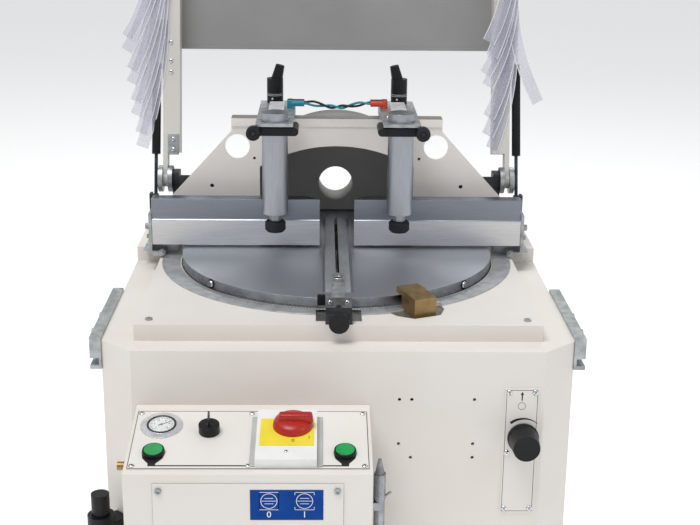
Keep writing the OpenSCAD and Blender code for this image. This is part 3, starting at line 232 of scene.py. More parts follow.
def patchy_gloss(tree, shader, low, high, scale, stretch=(1, 1, 1)):
    spread = tree.nodes.new("ShaderNodeMapRange")
    spread.inputs["From Min"].default_value = 0.3
    spread.inputs["From Max"].default_value = 0.7
    spread.inputs["To Min"].default_value = low
    spread.inputs["To Max"].default_value = high
    tree.links.new(noise_at(tree, scale, stretch), spread.inputs["Value"])
    tree.links.new(spread.outputs["Result"], shader.inputs["Roughness"])


def textured(tree, shader, scale, depth, stretch=(1, 1, 1), strength=0.4):
    bump = tree.nodes.new("ShaderNodeBump")
    bump.inputs["Strength"].default_value = strength
    bump.inputs["Distance"].default_value = depth
    tree.links.new(noise_at(tree, scale, stretch, 2.0), bump.inputs["Height"])
    tree.links.new(bump.outputs["Normal"], shader.inputs["Normal"])


# %% [markdown]
# The cabinet is powder coated. Powder flows into a soft skin with an orange-peel relief of one or two millimetres,
# and its colour drifts a little where it is thicker. The hood sheet gets the same coat in grey, which is painted
# shade:
# the sheet is cream, like its arms. The arch gets a lighter copy of the cream and the dust panel a pale grey, both as
# painted light that brightens places the lamps leave dim.

# %% Powder coats
def powder_coat(name, dark, light, rough):
    finish, tree, shader = plain_finish(name, light, rough)
    clouded(tree, shader, dark, light, 6)
    patchy_gloss(tree, shader, rough - 0.06, rough + 0.08, 35)
    textured(tree, shader, 620, 0.00022, strength=0.35)
    return finish


cream_paint = powder_coat("cream_paint", "#E6E0D9", "#E9E4DE", 0.42)
# Grey coat of the hood sheet and its hem: painted shade on a sheet that is cream.
grey_paint = powder_coat("grey_paint", "#888887", "#919190", 0.5)
# A lighter copy of the cream paint for the arch: painted light.
arch_paint_with_painted_light = powder_coat("arch_paint_with_painted_light", "#F1EBE5", "#F7F2EC", 0.42)
arm_paint = powder_coat("arm_paint", "#CBC8C2", "#D5D2CC", 0.45)
# The dark dust panel is given a pale grey as painted light, to make up for the shade inside the tunnel.
dust_panel_paint_with_painted_light = powder_coat("dust_panel_paint_with_painted_light", "#B0B0AB", "#BBBBB6", 0.6)
panel_white = powder_coat("panel_white", "#E6E2DC", "#ECE8E3", 0.38)
print("6 powder coats")

# %% [markdown]
# Bare metals differ by how they were worked. A drawn bar has hair lines along its length, so its noise is stretched
# that way.

# %% Drawn metals
def drawn_metal(name, dark, light, low, high, stretch, metal=1.0):
    finish, tree, shader = plain_finish(name, light, low, metal)
    clouded(tree, shader, dark, light, 40, stretch)
    patchy_gloss(tree, shader, low, high, 60, stretch)
    textured(tree, shader, 60, 0.00004, stretch, 0.35)
    shader.inputs["Anisotropic"].default_value = 0.35
    return finish


barrel_aluminium = drawn_metal("barrel_aluminium", "#A2A6AC", "#ADB1B7", 0.34, 0.4, (30, 30, 1))
machine_steel = drawn_metal("machine_steel", "#8F949B", "#ACB1B8", 0.24, 0.38, (40, 1, 40))
print("2 drawn metals")

# %% [markdown]
# A fence bar has two faces that meet at a ridge, and the upper one is set back a little. A ramp on the height
# paints the change at the ridge: the upper face darker as painted shade, the lower one bright as a painted
# reflection. Hair lines along the bar lie on top of it.

# %% Fence bars
FENCE_RIDGE = spot(0, 0, 48).z
RIDGE_BLUR = 1 * MM
HAIR_LINES = (0.6, 60, 60)


def fence_finish_with_painted_shading():
    finish, tree, shader = plain_finish("fence_aluminium", "#C6CBD2", 0.3, 1.0)
    coordinates = tree.nodes.new("ShaderNodeTexCoord")
    split = tree.nodes.new("ShaderNodeSeparateXYZ")
    height = tree.nodes.new("ShaderNodeMapRange")
    height.inputs["From Min"].default_value = FENCE_RIDGE - RIDGE_BLUR
    height.inputs["From Max"].default_value = FENCE_RIDGE + RIDGE_BLUR
    lines = tree.nodes.new("ShaderNodeMix")
    lines.data_type = "RGBA"
    lines.blend_type = "MULTIPLY"
    lines.inputs["Factor"].default_value = 0.35
    # Painted bright reflection below the ridge, painted shade above it.
    faces = tree.nodes.new("ShaderNodeValToRGB")
    faces.color_ramp.elements[0].color = rgb("#F0F1F4")
    faces.color_ramp.elements[1].color = rgb("#979DA7")
    link = tree.links.new
    link(coordinates.outputs["Object"], split.inputs["Vector"])
    link(split.outputs["Z"], height.inputs["Value"])
    link(height.outputs["Result"], faces.inputs["Fac"])
    link(faces.outputs["Color"], lines.inputs["A"])
    link(noise_at(tree, 40, HAIR_LINES), lines.inputs["B"])
    link(lines.outputs["Result"], shader.inputs["Base Color"])
    patchy_gloss(tree, shader, 0.26, 0.4, 60, HAIR_LINES)
    textured(tree, shader, 60, 0.00004, HAIR_LINES, 0.35)
    shader.inputs["Anisotropic"].default_value = 0.35
    return finish


fence_aluminium = fence_finish_with_painted_shading()
print("fence ridge", round(FENCE_RIDGE, 3), "m above the floor")

# %% [markdown]
# Zinc plating looks blotchy at the size of a thumb, a cast face stays grainy all over, and polished steel keeps only
# a trace of cloud. One helper makes them all; the last number says how much of the finish is bare metal.

# %% Plated, cast and polished metals
def blotched_metal(name, dark, light, low, high, scale, depth, metal=1.0):
    finish, tree, shader = plain_finish(name, light, low, metal)
    clouded(tree, shader, dark, light, scale)
    patchy_gloss(tree, shader, low, high, scale * 2)
    textured(tree, shader, 900, depth, strength=0.3)
    return finish


zinc = blotched_metal("zinc", "#9A9F9F", "#BEC2C2", 0.3, 0.48, 60, 0.00005, 0.7)
cast_iron = blotched_metal("cast_iron", "#4B4D50", "#5E6164", 0.5, 0.65, 40, 0.0002)
dark_steel = blotched_metal("dark_steel", "#3B3C3F", "#55575A", 0.42, 0.56, 50, 0.00006)
chrome = blotched_metal("chrome", "#D9DBDE", "#E9EAEC", 0.08, 0.16, 30, 0.00001)
brass = blotched_metal("brass", "#977D54", "#AE956B", 0.36, 0.5, 70, 0.00006)
bright_steel = blotched_metal("bright_steel", "#D3D6DA", "#E6E8EA", 0.2, 0.3, 30, 0.00003)
ring_steel = blotched_metal("ring_steel", "#B2B5B7", "#CCCED0", 0.38, 0.52, 45, 0.00005, 0.7)
ridge_alloy = blotched_metal("ridge_alloy", "#D9DCDD", "#F0F1F1", 0.34, 0.48, 60, 0.00005, 0.3)
gun_steel = blotched_metal("gun_steel", "#85898D", "#A6AAAE", 0.18, 0.3, 60, 0.00003)
# The rim's darker steel is a painted reflection of dark surroundings.
rim_steel_with_painted_reflection = blotched_metal("rim_steel_with_painted_reflection", "#8B8F94", "#A3A7AB", 0.22, 0.34, 30, 0.00003)
# The table ring's cast iron, lightened to a mid grey as painted light for the shade in the notch.
table_ring_with_painted_light = blotched_metal("table_ring_with_painted_light", "#8A8A86", "#A2A29D", 0.45, 0.6, 45, 0.0001)
gauge_steel = blotched_metal("gauge_steel", "#D0D2D5", "#E8E9EB", 0.2, 0.32, 40, 0.00002, 0.6)
print("12 plated, cast and polished metals")

# %% [markdown]
# Plastics and rubber are not metal, so their colour comes from inside and their highlight stays white. Moulded
# plastic has a fine eroded grain. Rubber is rougher still and never quite black.

# %% Plastics and rubber
def moulded(name, dark, light, low, high, grain=1400, depth=0.00006):
    finish, tree, shader = plain_finish(name, light, low)
    clouded(tree, shader, dark, light, 25)
    patchy_gloss(tree, shader, low, high, 90)
    textured(tree, shader, grain, depth, strength=0.35)
    return finish


def dulled(finish, level):
    finish.node_tree.nodes["Principled BSDF"].inputs["Specular IOR Level"].default_value = level
    return finish


black_rubber = dulled(moulded("black_rubber", "#1D1F22", "#2A2C30", 0.62, 0.78, 1100, 0.00012), 0.28)
black_plastic = dulled(moulded("black_plastic", "#0D0E10", "#16171A", 0.34, 0.46), 0.28)
grey_plastic = moulded("grey_plastic", "#EDEDEB", "#F4F4F2", 0.36, 0.46)
green_plastic = moulded("green_plastic", "#0A9348", "#10A856", 0.24, 0.34)
red_plastic = moulded("red_plastic", "#A81A0E", "#BE2415", 0.26, 0.36)
yellow_plastic = moulded("yellow_plastic", "#F0DA2E", "#F7E444", 0.34, 0.42)
fitting_plastic = moulded("fitting_plastic", "#C8402A", "#D8513A", 0.3, 0.4)
flange_grey = moulded("flange_grey", "#6E6A66", "#7C7874", 0.5, 0.6)
base_grey = moulded("base_grey", "#B4B4B3", "#C0C0BF", 0.4, 0.5)
print("9 plastics and rubbers")

# %% [markdown]
# Prints are thin films of ink, so they shine less than the plastic under them. The floor glows a little, which keeps
# it white behind the machine without a lamp of its own.

# %% Prints, hoses and floor
blue_print = dulled(moulded("blue_print", "#003C8C", "#00459B", 0.5, 0.58), 0.15)
# Black ink for the prints, also used for the painted shade in the tab screw's hole.
black_print_and_shade = moulded("black_print_and_shade", "#101112", "#1A1B1C", 0.45, 0.55)
white_print = moulded("white_print", "#ECEDEC", "#F5F5F4", 0.4, 0.5)
hose_black = moulded("hose_black", "#121314", "#1C1D1F", 0.32, 0.42)
hose_teal = moulded("hose_teal", "#0F7F93", "#1796AA", 0.3, 0.4)
black_hose.data.materials.append(hose_black)
teal_hose.data.materials.append(hose_teal)
floor_white = moulded("floor_white", "#F7F7F7", "#FBFBFB", 0.7, 0.8)
floor_shader = floor_white.node_tree.nodes["Principled BSDF"]
floor_shader.inputs["Emission Color"].default_value = (1, 1, 1, 1)
floor_shader.inputs["Emission Strength"].default_value = 0.3
floor.data.materials.append(floor_white)
print("3 prints, 2 hose colours and the floor")

# %% [markdown]
# ## Dressing the solids
# A solid from CAD has knife-sharp edges, and no real edge is that sharp. `dress` copies a node, merges its loose
# triangles, joins the flat faces again and bevels what is left of the sharp edges. The bevel catches a thin line of
# light, which is most of what makes sheet metal and castings look real. The copy stands for the node. A Weighted
# Normal modifier then lets the large flat faces keep their own shading, so only the bevels look round.

# %% Rounded copies of the solids
MERGE_WITHIN = 0.01 * MM
FLAT_WITHIN, SHARP_FROM, SMOOTH_UP_TO = math.radians(0.4), math.radians(35), math.radians(50)


def settle(piece, body, finish):
    piece.data.materials.append(finish)
    bpy.context.scene.collection.objects.link(piece)
    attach(piece, body)
    return piece


def soften(piece, up_to=SMOOTH_UP_TO):
    piece.data.shade_smooth()
    piece.data.set_sharp_from_angle(angle=up_to)


def dress(node, finish, edge):
    bm = bmesh.new()
    bm.from_mesh(frame["nodes"][node].data)
    bmesh.ops.remove_doubles(bm, verts=bm.verts, dist=MERGE_WITHIN)
    bmesh.ops.dissolve_limit(bm, angle_limit=FLAT_WITHIN, verts=bm.verts, edges=bm.edges)
    sharp = [e for e in bm.edges if e.is_manifold and e.calc_face_angle(0) > SHARP_FROM]
    bmesh.ops.bevel(bm, geom=sharp, offset=edge * MM, offset_type="OFFSET", affect="EDGES", segments=2,
                    profile=0.5, material=-1, clamp_overlap=True)
    mesh = bpy.data.meshes.new(node + "_skin")
    bm.to_mesh(mesh)
    bm.free()
    piece = bpy.data.objects.new(node + "_skin", mesh)
    settle(piece, body_of[node], finish)
    soften(piece)
    evener = piece.modifiers.new("large faces keep their own shading", "WEIGHTED_NORMAL")
    evener.keep_sharp = True
    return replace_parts(piece, node)


# %% [markdown]
# The record gives every node a material slot, and the slot says which finish the node gets. A few nodes differ from
# their slot in colour; the arch, the dust panel and the table ring among them are lightened as painted light. The
# large sheets get a wider edge than the rest. Eight nodes wait for cells of their own.

# %% A finish for each node
finish_of = {"cream_paint": cream_paint, "grey_paint": grey_paint, "dark_steel": dark_steel, "zinc": zinc,
             "machine_steel": machine_steel, "fence_aluminium": fence_aluminium, "panel_white": panel_white,
             "barrel_aluminium": barrel_aluminium, "cast_iron": cast_iron, "chrome": chrome, "brass": brass,
             "black_rubber": black_rubber, "black_plastic": black_plastic, "grey_plastic": grey_plastic,
             "green_plastic": green_plastic, "fitting_plastic": fitting_plastic, "gauge_steel": gauge_steel}
own_finish = {"hood_arms": arm_paint, "dust_panel": dust_panel_paint_with_painted_light, "scale_ring": ring_steel, "table_ring": table_ring_with_painted_light,
              "blow_gun": gun_steel, "panel_key": dark_steel, "arch_panel": arch_paint_with_painted_light}
USUAL_EDGE = 0.5
edge_of = {"cabinet_shell": 2.0, "top_deck": 1.6, "control_box": 2.0, "arch_panel": 0.8, "hood_arms": 1.0}
made_later = {"air_hoses", "table_disc", "slot_strips", "curtain_1", "curtain_2", "curtain_3", "curtain_4",
              "switch_handle"}
skins = {}
for node, slot in slot_of.items():
    if node not in made_later:
        skins[node] = dress(node, own_finish.get(node, finish_of[slot]), edge_of.get(node, USUAL_EDGE))
print(len(skins), "nodes dressed")

# %% [markdown]
# Some solids hold two materials: a clamp foot is a rubber pad, a zinc nut and a chromed rod in one. `paint` gives
# the faces that pass a test a second finish. The test gets the middle of a face in the drawing's millimetres, so
# it can be written down with the sizes of the drawing.

# %% Second finishes
def paint(piece, finish, chosen):
    piece.data.materials.append(finish)
    number = len(piece.data.materials) - 1
    painted = 0
    for face in piece.data.polygons:
        if chosen(*((face.center - TABLE_MIDDLE) / MM)):
            face.material_index = number
            painted += 1
    print(piece.name, "has", painted, "faces in", finish.name)


CLAMP = (102, -48)
PAD_TOP, NUT_TOP, ROD_RADIUS = 64, 75.5, 6.2


def from_rod(x, y):
    return math.hypot(abs(x) - CLAMP[0], y - CLAMP[1])


for node in ("left_clamp_foot", "right_clamp_foot"):
    paint(skins[node], zinc, lambda x, y, z: PAD_TOP < z < NUT_TOP and from_rod(x, y) > ROD_RADIUS)
    paint(skins[node], chrome, lambda x, y, z: z > PAD_TOP and from_rod(x, y) <= ROD_RADIUS)

# %% [markdown]
# The same goes for the index plate's black pointer, the screws of the front cover, the zinc discs at the hood's
# pivot, the brass air inlet that is one node with the blow gun, the two hose colours in the fittings, the bright
# ridges of the clamp arms and the grey flange on top of the bridge. Each limit lies just beyond the surface that the
# painted piece stands on.

# %% More second finishes
COVER_FACE, ARM_TOP = -537.0, 230
HOOD_PIVOT, PIVOT_DISC, BRACKET_FACE = (98, 98), 24, 284.8
POINTER_EDGE, POINTER_FRONT = -20.1, -250
INLET_FROM, RIDGE_FRONT, FLANGE_FROM = -285, -17, 208.9
paint(skins["index_plate"], black_plastic, lambda x, y, z: x < POINTER_EDGE and y < POINTER_FRONT)
paint(skins["control_cover"], gun_steel, lambda x, y, z: y < COVER_FACE - 0.1)
paint(skins["hood_brackets"], zinc,
      lambda x, y, z: abs(x) > BRACKET_FACE and math.dist((y, z), HOOD_PIVOT) < PIVOT_DISC)
paint(skins["blow_gun"], brass, lambda x, y, z: x < INLET_FROM)
paint(skins["air_fittings"], hose_black, lambda x, y, z: y >= HOSE_MIDDLE)
paint(skins["air_fittings"], hose_teal, lambda x, y, z: x < 0 and y < HOSE_MIDDLE)
paint(skins["clamp_arms"], ridge_alloy, lambda x, y, z: z > ARM_TOP + 0.2 and y > RIDGE_FRONT)
paint(skins["arch_panel"], flange_grey, lambda x, y, z: z > FLANGE_FROM)

# %% [markdown]
# ## The turning table
# The disc was faced on a lathe, so its grooves are rings round its middle and its highlights fan out from there.
# Both come from one trick: the distance from the table axis drives a one-dimensional noise, which gives rings of
# uneven depth, and a radial tangent turns the shader's stretched highlight round the disc.

# %% Turned steel
def turned_steel_finish():
    finish, tree, shader = plain_finish("turned_steel", "#B2B7BE", 0.3, 0.8)
    coordinates = tree.nodes.new("ShaderNodeTexCoord")
    centred = tree.nodes.new("ShaderNodeMapping")
    centred.inputs["Location"].default_value = -TABLE_MIDDLE
    flat = tree.nodes.new("ShaderNodeVectorMath")
    flat.operation = "MULTIPLY"
    flat.inputs[1].default_value = (1, 1, 0)
    radius = tree.nodes.new("ShaderNodeVectorMath")
    radius.operation = "LENGTH"
    rings = tree.nodes.new("ShaderNodeTexNoise")
    rings.noise_dimensions = "1D"
    rings.inputs["Scale"].default_value = 900
    rings.inputs["Detail"].default_value = 4
    tone = tree.nodes.new("ShaderNodeValToRGB")
    tone.color_ramp.elements[0].color = rgb("#B0B5BD")
    tone.color_ramp.elements[1].color = rgb("#D0D4DA")
    groove = tree.nodes.new("ShaderNodeBump")
    groove.inputs["Strength"].default_value = 0.25
    groove.inputs["Distance"].default_value = 0.00003
    round_the_disc = tree.nodes.new("ShaderNodeTangent")
    round_the_disc.direction_type = "RADIAL"
    round_the_disc.axis = "Z"
    link = tree.links.new
    link(coordinates.outputs["Object"], centred.inputs["Vector"])
    link(centred.outputs["Vector"], flat.inputs[0])
    link(flat.outputs["Vector"], radius.inputs[0])
    link(radius.outputs["Value"], rings.inputs["W"])
    link(rings.outputs["Fac"], tone.inputs["Fac"])
    link(tone.outputs["Color"], shader.inputs["Base Color"])
    link(rings.outputs["Fac"], groove.inputs["Height"])
    link(groove.outputs["Normal"], shader.inputs["Normal"])
    link(round_the_disc.outputs["Tangent"], shader.inputs["Tangent"])
    shader.inputs["Anisotropic"].default_value = 0.75
    return finish


turned_steel = turned_steel_finish()
print("turned steel")

# %% [markdown]
# The disc's rim is smoother than its face, so it takes a second finish below the edge. Its darker colour is a painted
# reflection of dark surroundings. The two strips beside the saw slot are drawn bars with their lines along the slot.

# %% Disc and slot strips
RIM_FROM, RIM_BELOW = 258.5, -0.6
disc_skin = dress("table_disc", turned_steel, 1.2)
# The rim's darker finish is a painted reflection.
paint(disc_skin, rim_steel_with_painted_reflection, lambda x, y, z: math.hypot(x, y) > RIM_FROM and z < RIM_BELOW)
strip_steel = drawn_metal("strip_steel", "#A4A9B0", "#C3C8CE", 0.34, 0.46, (40, 0.8, 40), 0.65)
dress("slot_strips", strip_steel, 0.3)
print("disc and slot strips")

# %% [markdown]
# ## The angle scale
# The ring round the disc carries a degree scale. Each mark is a very thin block, and one mesh holds them all: a cube
# is made once per degree, scaled to a short, middle or long mark, moved out to the ring and turned to its angle.

# %% Scale marks
RING_TOP, MARK_FROM, SCALE_END = -14.5, 268, 60
MARK_WIDE, MARK_HIGH = 0.7, 0.12
LONG_MARK, MIDDLE_MARK, SHORT_MARK = 13, 9, 5


def add_block(bm, size, matrix):
    made = bmesh.ops.create_cube(bm, size=1, matrix=matrix @ Matrix.Diagonal((*(s * MM for s in size), 1)))
    return made["verts"]


def as_piece(name, bm, body, finish):
    bmesh.ops.recalc_face_normals(bm, faces=bm.faces)
    mesh = bpy.data.meshes.new(name)
    bm.to_mesh(mesh)
    bm.free()
    return settle(bpy.data.objects.new(name, mesh), body, finish)


bm = bmesh.new()
for degree in range(-SCALE_END, SCALE_END + 1):
    length = LONG_MARK if degree % 15 == 0 else MIDDLE_MARK if degree % 5 == 0 else SHORT_MARK
    turned = placed(0, 0, RING_TOP) @ Matrix.Rotation(math.radians(degree), 4, "Z")
    add_block(bm, (MARK_WIDE, length, MARK_HIGH), turned @ moved(0, -MARK_FROM - length / 2, 0))
scale_marks = as_piece("scale_marks", bm, "cabinet", black_print_and_shade)
print(len(scale_marks.data.polygons) // 6, "marks")

# %% [markdown]
# ## The strip curtains
# Strips of clear, slightly milky plastic hang from the hood arms in overlapping rows. With the hood up they fall
# sideways like feathers. Clear sheet looks brighter at its cut edges, so a narrow band along each edge gets a second,
# denser finish whose paler colour is a painted highlight.

# %% Clear plastic
def clear_plastic_finish(name, dark, light, alpha):
    finish, tree, shader = plain_finish(name, light, 0.28)
    clouded(tree, shader, dark, light, 30, (1, 1, 0.2))
    patchy_gloss(tree, shader, 0.2, 0.38, 80)
    textured(tree, shader, 120, 0.0002, (1, 1, 0.1), 0.3)
    shader.inputs["Alpha"].default_value = alpha
    shader.inputs["IOR"].default_value = 1.5
    return finish


clear_plastic = clear_plastic_finish("clear_plastic", "#BEBECE", "#D0D0DC", 0.34)
# The edge bands' paler colour is a painted highlight.
strip_edge_with_painted_highlight = clear_plastic_finish("strip_edge_with_painted_highlight", "#EDEDF4", "#F8F8FB", 0.65)
print("clear plastic and its edge")

# %% [markdown]
# Each strip starts as a flat grid of three columns. The grid's rows are turned further and further along a gentle
# bend, and `solidify` gives the sheet its thickness. The two outer columns are made narrow and take the edge finish
# with its painted highlight.
# A fresh grid has its columns' lines at a half and at a sixth on either side, which is how they are told apart.

# %% One hanging strip
HOOD_LEAN = 15
STRIP_WIDE, STRIP_THICK, STRIP_STEPS = 22, 0.8, 14
OUTER, INNER = 0.5, 0.44
hood_place = placed(0, *HOOD_PIVOT) @ Matrix.Rotation(math.radians(-HOOD_LEAN), 4, "X")


def bent_line(lean, curl, long):
    x = z = 0.0
    line = []
    for i in range(STRIP_STEPS + 1):
        angle = math.radians(lean * (1 + curl * (2 * i / STRIP_STEPS - 1)))
        line.append((x, z, angle))
        x -= math.sin(angle) * long / STRIP_STEPS
        z -= math.cos(angle) * long / STRIP_STEPS
    return line


def hanging_strip(bm, root, lean, curl, long):
    grid = bmesh.ops.create_grid(bm, x_segments=3, y_segments=STRIP_STEPS, size=0.5)["verts"]
    faces = list({face for vert in grid for face in vert.link_faces})
    for face in faces:
        face.material_index = 1 if abs(face.calc_center_median().x) > 0.2 else 0
    line = bent_line(lean, curl, long)
    for vert in grid:
        x, z, angle = line[round((vert.co.y + 0.5) * STRIP_STEPS)]
        across = math.copysign(OUTER if abs(vert.co.x) > 0.3 else INNER, vert.co.x) * STRIP_WIDE
        bend = Vector((x + across * math.cos(angle), 0, z - across * math.sin(angle)))
        vert.co = hood_place @ ((Vector(root) + bend) * MM)
    bmesh.ops.solidify(bm, geom=faces, thickness=STRIP_THICK * MM)


# %% [markdown]
# A row swings as one piece, as its solid does, and every strip of it has its own lean, curl and length. Each row
# hangs one layer in front of the row below it, and within a row the strips lie in two layers.

# %% Rows of strips
ROOT_FRONT, ROOT_HEIGHT, ROW_PITCH = -12.6, 273, 52.33
ROW_LAYER, STRIP_LAYERS = 4.8, (1.0, 2.8)
left_leans = [10, 12.5, 14.5, 17]
# Each strip: where its root is from left to right, its lean in degrees, its curl and its length.
right_strips = [[(301, 9, 1.5, 222), (296, 11, 1.5, 200)], [(301, 11, 1.5, 222), (301, -15, 0.85, 197)],
                [(301, 12, 1.5, 222), (296, 13, 1.5, 202)], [(301, 10, 1.5, 222), (296, 11.5, 1.5, 198)]]
for row, left_lean in enumerate(left_leans):
    bm = bmesh.new()
    strips = [(-301, left_lean, 0.85, 222), (-306, left_lean, 0.85, 198)] + right_strips[row]
    for number, (x, lean, curl, long) in enumerate(strips):
        front = ROOT_FRONT - ROW_LAYER * row - STRIP_LAYERS[number % 2]
        hanging_strip(bm, (x, front, ROOT_HEIGHT + ROW_PITCH * row), lean, curl, long)
    name = f"curtain_{row + 1}"
    curtain = as_piece(name + "_strips", bm, f"curtain_row_{row + 1}", clear_plastic)
    curtain.data.materials.append(strip_edge_with_painted_highlight)
    soften(curtain)
    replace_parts(curtain, name)

# %% [markdown]
# ## The control panel
# The top of the control box slopes towards the operator. Everything on it is drawn in a frame of its own: x from the
# left side of the box, y towards the rear, z out of the panel. One matrix carries that frame to its place, so a print
# or a screw can be given by the distances one would measure on the panel with a ruler. Upright faces get the same
# help: `facing` turns a shape towards the operator.

# %% Frames for the panel and for upright faces
BOX_RISE, BOX_RUN = 33, 158
PANEL_TOP = 1.5
slope = math.atan2(BOX_RISE, BOX_RUN)
panel_place = placed(-292, -377, -123) @ Matrix.Rotation(slope, 4, "X")
facing = Matrix.Rotation(math.radians(90), 4, "X")


def on_panel(x, from_rear, height=PANEL_TOP):
    return panel_place @ moved(x, -from_rear, height)


def on_front(x, y, z):
    return placed(x, y, z) @ facing


print("the panel slopes by", round(math.degrees(slope), 1), "degrees")

# %% [markdown]
# Round things come from a spin: a few points of half a cross section are turned once round the Z axis and merged.
# The spun shape is made in a bmesh of its own, because its normals have to be put right before it joins the others.

# %% Spun shapes and rounded blocks
SAME_POINT = 1e-7


def spin_to(bm, profile, matrix, steps=24):
    part = bmesh.new()
    verts = [part.verts.new((r * MM, 0, z * MM)) for r, z in profile]
    edges = [part.edges.new(pair) for pair in zip(verts, verts[1:])]
    bmesh.ops.spin(part, geom=verts + edges, axis=(0, 0, 1), cent=(0, 0, 0), angle=math.tau, steps=steps,
                   use_merge=True)
    bmesh.ops.remove_doubles(part, verts=part.verts, dist=SAME_POINT)
    bmesh.ops.recalc_face_normals(part, faces=part.faces)
    bmesh.ops.transform(part, matrix=matrix, verts=part.verts)
    mesh = bpy.data.meshes.new("part")
    part.to_mesh(mesh)
    part.free()
    bm.from_mesh(mesh)
    bpy.data.meshes.remove(mesh)


def round_edges(bm, verts, edge, steps=2):
    edges = list({e for v in verts for e in v.link_edges})
    bmesh.ops.bevel(bm, geom=edges, offset=edge * MM, affect="EDGES", segments=steps, profile=0.5, material=-1)


def add_rounded(bm, size, matrix, edge, steps=2):
    round_edges(bm, add_block(bm, size, matrix), edge, steps)


# %% [markdown]
# Pan-head screws are spun too, and two crossed dark blocks let into the dome paint the shade of the recess, so it
# looks cut. The six screws of the panel are the first ones: three along its rear edge and three along its front edge.

# %% Screws
BOX_WIDE, PANEL_REAR, PANEL_FRONT = 337, 19, 151.4
SIDE_INSET, END_INSET = 11, 6


def screw_profile(d, h):
    return [(0, h), (d * 0.22, h * 0.94), (d * 0.38, h * 0.72), (d * 0.48, h * 0.3), (d * 0.5, 0), (0, 0)]


def add_screws(name, places, d, h, body="cabinet"):
    heads, slot_shade = bmesh.new(), bmesh.new()
    for place in places:
        spin_to(heads, screw_profile(d, h), place, 16)
        # The dark crossed blocks are painted shade in the screw's recess.
        for turn in (45, 135):
            bar = place @ Matrix.Rotation(math.radians(turn), 4, "Z") @ moved(0, 0, h * 0.93)
            add_block(slot_shade, (d * 0.46, d * 0.09, h * 0.2), bar)
    as_piece(name, heads, body, chrome).data.shade_smooth()
    as_piece(name + "_slot_shade", slot_shade, body, dark_steel)
    print(len(places), name.replace("_", " "))


add_screws("panel_screws", [on_panel(x, d) for x in (SIDE_INSET, 168, BOX_WIDE - SIDE_INSET)
                            for d in (PANEL_REAR + END_INSET, PANEL_FRONT - END_INSET)], 9, 2.2)

# %% [markdown]
# The inset panel shows a thin dark joint all round. Below each push button lies a black tapered drop, and a black
# line joins the two drops. Prints are sheets about a fifth of a millimetre thick.

# %% Joint, drops and line
JOINT_WIDE, JOINT_INSET, PRINT_HIGH = 0.9, 5.5, 0.2
BUTTON_INSET, LINE_FROM_REAR = 37.5, 145
half_drop = [(15.5, 120), (13.8, 129), (9.5, 135), (5.4, 140), (4.8, 146.2)]
left, right = JOINT_INSET, BOX_WIDE - JOINT_INSET
rear, front = PANEL_REAR + 0.5, PANEL_FRONT - 0.5
bm = bmesh.new()
for x in (left, right):
    add_block(bm, (JOINT_WIDE, front - rear, PRINT_HIGH), on_panel(x, (front + rear) / 2))
for d in (rear, front):
    add_block(bm, (right - left, JOINT_WIDE, PRINT_HIGH), on_panel((left + right) / 2, d))
add_block(bm, (BOX_WIDE - 2 * BUTTON_INSET, 2.4, 0.3), on_panel(BOX_WIDE / 2, LINE_FROM_REAR))
rise = panel_place.to_3x3() @ Vector((0, 0, 0.25 * MM))
for x in (BUTTON_INSET, BOX_WIDE - BUTTON_INSET):
    outline = [(x + dx, d) for dx, d in half_drop] + [(x - dx, d) for dx, d in reversed(half_drop)]
    sheet = bm.faces.new([bm.verts.new(on_panel(px, d).translation) for px, d in outline])
    raised = bmesh.ops.extrude_face_region(bm, geom=[sheet])["geom"]
    bmesh.ops.translate(bm, vec=rise, verts=[g for g in raised if isinstance(g, bmesh.types.BMVert)])
as_piece("panel_joint_and_drops", bm, "cabinet", black_print_and_shade)
print("joint and two drops")

# %% [markdown]
# The gauge sits in a polished flange. Its dial is white with a black scale over three quarters of a turn and a short
# needle. The numbers are text objects turned into meshes, because a mesh can be placed and exported.

# %% Gauge dial and scale
LETTER_HIGH = 0.08
GAUGE_SPOT, DIAL_HEIGHT = (42, 54), PANEL_TOP + 1.8
FIRST_TICK, SWEEP, TICKS = 225, 270, 30
TICK_END, NUMBER_RADIUS, NEEDLE_TURN = 16, 10.4, 30
numbers = ("0", "2", "4", "6", "8", "10")
dial_place = on_panel(*GAUGE_SPOT, DIAL_HEIGHT)


def on_dial(degrees):
    return dial_place @ Matrix.Rotation(math.radians(degrees), 4, "Z")


def add_lettering(bm, words, size, place):
    font = bpy.data.curves.new("words", "FONT")
    font.body = words
    font.size = size * MM
    font.align_x = font.align_y = "CENTER"
    font.extrude = LETTER_HIGH * MM
    holder = bpy.data.objects.new("words", font)
    mesh = bpy.data.meshes.new_from_object(holder)
    mesh.transform(place)
    bm.from_mesh(mesh)
    bpy.data.objects.remove(holder)
    bpy.data.curves.remove(font)
    bpy.data.meshes.remove(mesh)


bm = bmesh.new()
spin_to(bm, [(0, 0.4), (17.6, 0.4), (17.8, 0), (0, 0)], dial_place, 40)
as_piece("gauge_dial", bm, "cabinet", white_print)
bm = bmesh.new()
for i in range(TICKS + 1):
    long, wide = (3.2, 0.55) if i % 3 == 0 else (1.8, 0.3)
    tick = on_dial(FIRST_TICK - SWEEP * i / TICKS) @ moved(TICK_END - long / 2, 0, 0.5)
    add_block(bm, (long, wide, 0.2), tick)
add_block(bm, (19, 1.1, 0.4), on_dial(NEEDLE_TURN) @ moved(4, 0, 0.85))
spin_to(bm, [(0, 1.25), (1.8, 1.2), (2.0, 0.6), (0, 0.6)], dial_place, 16)
for i, number in enumerate(numbers):
    angle = math.radians(FIRST_TICK - SWEEP * i / (len(numbers) - 1))
    step = moved(NUMBER_RADIUS * math.cos(angle), NUMBER_RADIUS * math.sin(angle), 0.5)
    add_lettering(bm, number, 4.6, dial_place @ step)
as_piece("gauge_scale", bm, "cabinet", black_print_and_shade)
print("dial with", TICKS + 1, "ticks and", len(numbers), "numbers")

